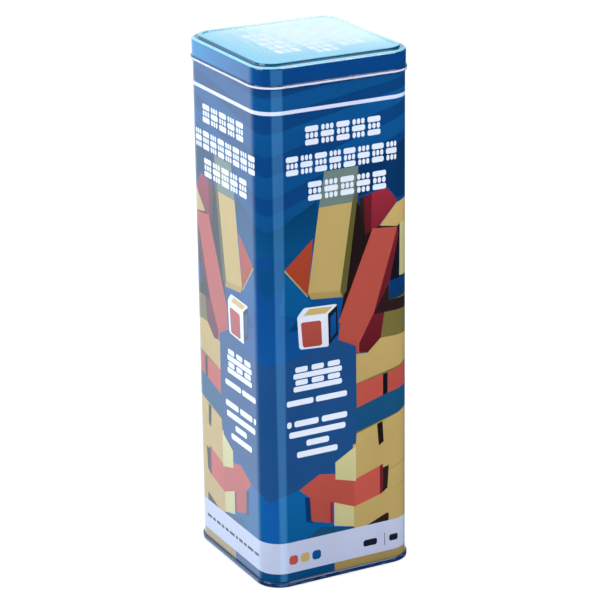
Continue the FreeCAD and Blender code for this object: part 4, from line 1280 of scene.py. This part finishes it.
class TOWER_OT_stage(bpy.types.Operator):
    """Pale floor, soft panels of light and the camera"""
    bl_idname = "tower.stage"
    bl_label = "Stage"
    bl_options = {"REGISTER", "UNDO"}

    def execute(self, context):
        scene = context.scene
        settings = scene.tower_stage
        self.floor()
        scene.world = self.surroundings(settings)
        aim = (0.0, 0.0, 0.14)
        add_panel("key_panel", (0.75, -1.1, 0.95), aim, 0.55, 0.8, settings.key_power)
        add_panel("side_panel", (-1.25, -0.1, 0.6), aim, 0.9, 1.0, settings.side_power)
        add_panel("top_panel", (0.2, 0.5, 1.5), aim, 1.4, 1.2, settings.top_power)
        self.camera(scene, settings)
        scene.view_settings.view_transform = "Standard"
        scene.view_settings.look = "None"
        return {"FINISHED"}

    @staticmethod
    def surroundings(settings):
        """A studio that is bright and cool behind and dim in front, with a cool reflector low in
        front and a wide pale one overhead."""
        world = bpy.data.worlds.new("studio")
        world.use_nodes = True
        tree = world.node_tree
        way = node(tree, "ShaderNodeTexCoord").outputs["Generated"]
        behind, low_front = (0.0, 1.0, 0.0), (-0.087, -0.996, 0.0)
        lean = node(tree, "ShaderNodeVectorMath", {0: way, 1: behind},
                    operation="DOT_PRODUCT").outputs["Value"]
        bright = step(tree, lean, 0.4, 0.82)
        colour = blend_paint(tree, bright, (0.015, 0.022, 0.032), (0.98, 1.2, 1.42))
        near = node(tree, "ShaderNodeVectorMath", {0: way, 1: low_front},
                    operation="DOT_PRODUCT").outputs["Value"]
        level = node(tree, "ShaderNodeSeparateXYZ", {0: way}).outputs[2]
        low = calc(tree, "SUBTRACT", 1.0, step(tree, level, -0.12, -0.02))
        strip = calc(tree, "MULTIPLY", step(tree, near, 0.83, 0.9), low)
        colour = blend_paint(tree, strip, colour, (0.5, 1.5, 2.5))
        over = step(tree, level, 0.5, 0.75)
        colour = blend_paint(tree, over, colour, (0.8, 0.9, 0.95))
        background = tree.nodes["Background"]
        tree.links.new(colour, background.inputs["Color"])
        background.inputs["Strength"].default_value = settings.world_glow
        return world

    @staticmethod
    def floor():
        """A wide plane under the tin, white and a little uneven."""
        mesh = bpy.data.meshes.new("floor")
        reach = 4.0
        mesh.from_pydata([(-reach, -reach, 0), (reach, -reach, 0), (reach, reach, 0),
                          (-reach, reach, 0)], [], [(0, 1, 2, 3)])
        made, tree, shader, places = new_material("pale_floor")
        drift = cloudy(tree, places, (3.0, 3.0, 3.0))
        colour = blend_paint(tree, drift, (0.84, 0.84, 0.85), (0.88, 0.88, 0.88))
        tree.links.new(colour, shader.inputs["Base Color"])
        shader.inputs["Roughness"].default_value = 0.6
        shader.inputs["Emission Color"].default_value = (1.0, 1.0, 1.0, 1.0)
        shader.inputs["Emission Strength"].default_value = 0.5
        mesh.materials.append(made)
        floor = bpy.data.objects.new("floor", mesh)
        floor.location.z = -0.0002
        floor.visible_glossy = False
        bpy.context.collection.objects.link(floor)

    @staticmethod
    def camera(scene, settings):
        """The camera, turned by its own azimuth, elevation and roll."""
        a, e, r = settings.azimuth, settings.elevation, settings.roll
        back = Vector((math.sin(a) * math.cos(e), -math.cos(a) * math.cos(e), math.sin(e)))
        right = Vector((math.cos(a), math.sin(a), 0.0))
        up = back.cross(right)
        right, up = (math.cos(r) * right + math.sin(r) * up,
                     math.cos(r) * up - math.sin(r) * right)
        data = bpy.data.cameras.new("camera")
        data.lens = settings.lens
        data.sensor_width = 36.0
        made = bpy.data.objects.new("camera", data)
        matrix = made.matrix_world.copy()
        for column, axis in enumerate((right, up, back, Vector(settings.place))):
            for row in range(3):
                matrix[row][column] = axis[row]
        made.matrix_world = matrix
        bpy.context.collection.objects.link(made)
        scene.camera = made


OPERATORS = (TOWER_OT_tube, TOWER_OT_mouth, TOWER_OT_base, TOWER_OT_lid, TOWER_OT_blocks,
             TOWER_OT_die, TOWER_OT_leaflet, TOWER_OT_stage)


class TOWER_PT_panel(bpy.types.Panel):
    """Lists the sizes, the paints and the operators"""
    bl_label = "Tumbling tower tin"
    bl_space_type = "VIEW_3D"
    bl_region_type = "UI"
    bl_category = "Tower"

    def draw(self, context):
        for operator in OPERATORS:
            self.layout.operator(operator.bl_idname)
        for group in (context.scene.tower_sizes, context.scene.tower_paints,
                      context.scene.tower_stage):
            box = self.layout.box()
            for name in group.bl_rna.properties.keys():
                if name not in ("rna_type", "name"):
                    box.prop(group, name)


CLASSES = (TinSizes, Paints, StageSettings, *OPERATORS, TOWER_PT_panel)
GROUPS = (("tower_sizes", TinSizes), ("tower_paints", Paints), ("tower_stage", StageSettings))


def register():
    """Registers the classes and their settings."""
    for item in CLASSES:
        bpy.utils.register_class(item)
    for name, group in GROUPS:
        setattr(bpy.types.Scene, name, bpy.props.PointerProperty(type=group))


def unregister():
    """Takes them away again."""
    for name, _group in GROUPS:
        delattr(bpy.types.Scene, name)
    for item in reversed(CLASSES):
        bpy.utils.unregister_class(item)


def main():
    """Builds every piece."""
    register()
    for operator in OPERATORS:
        family, name = operator.bl_idname.split(".")
        getattr(getattr(bpy.ops, family), name)()


if __name__ == "__main__":
    main()
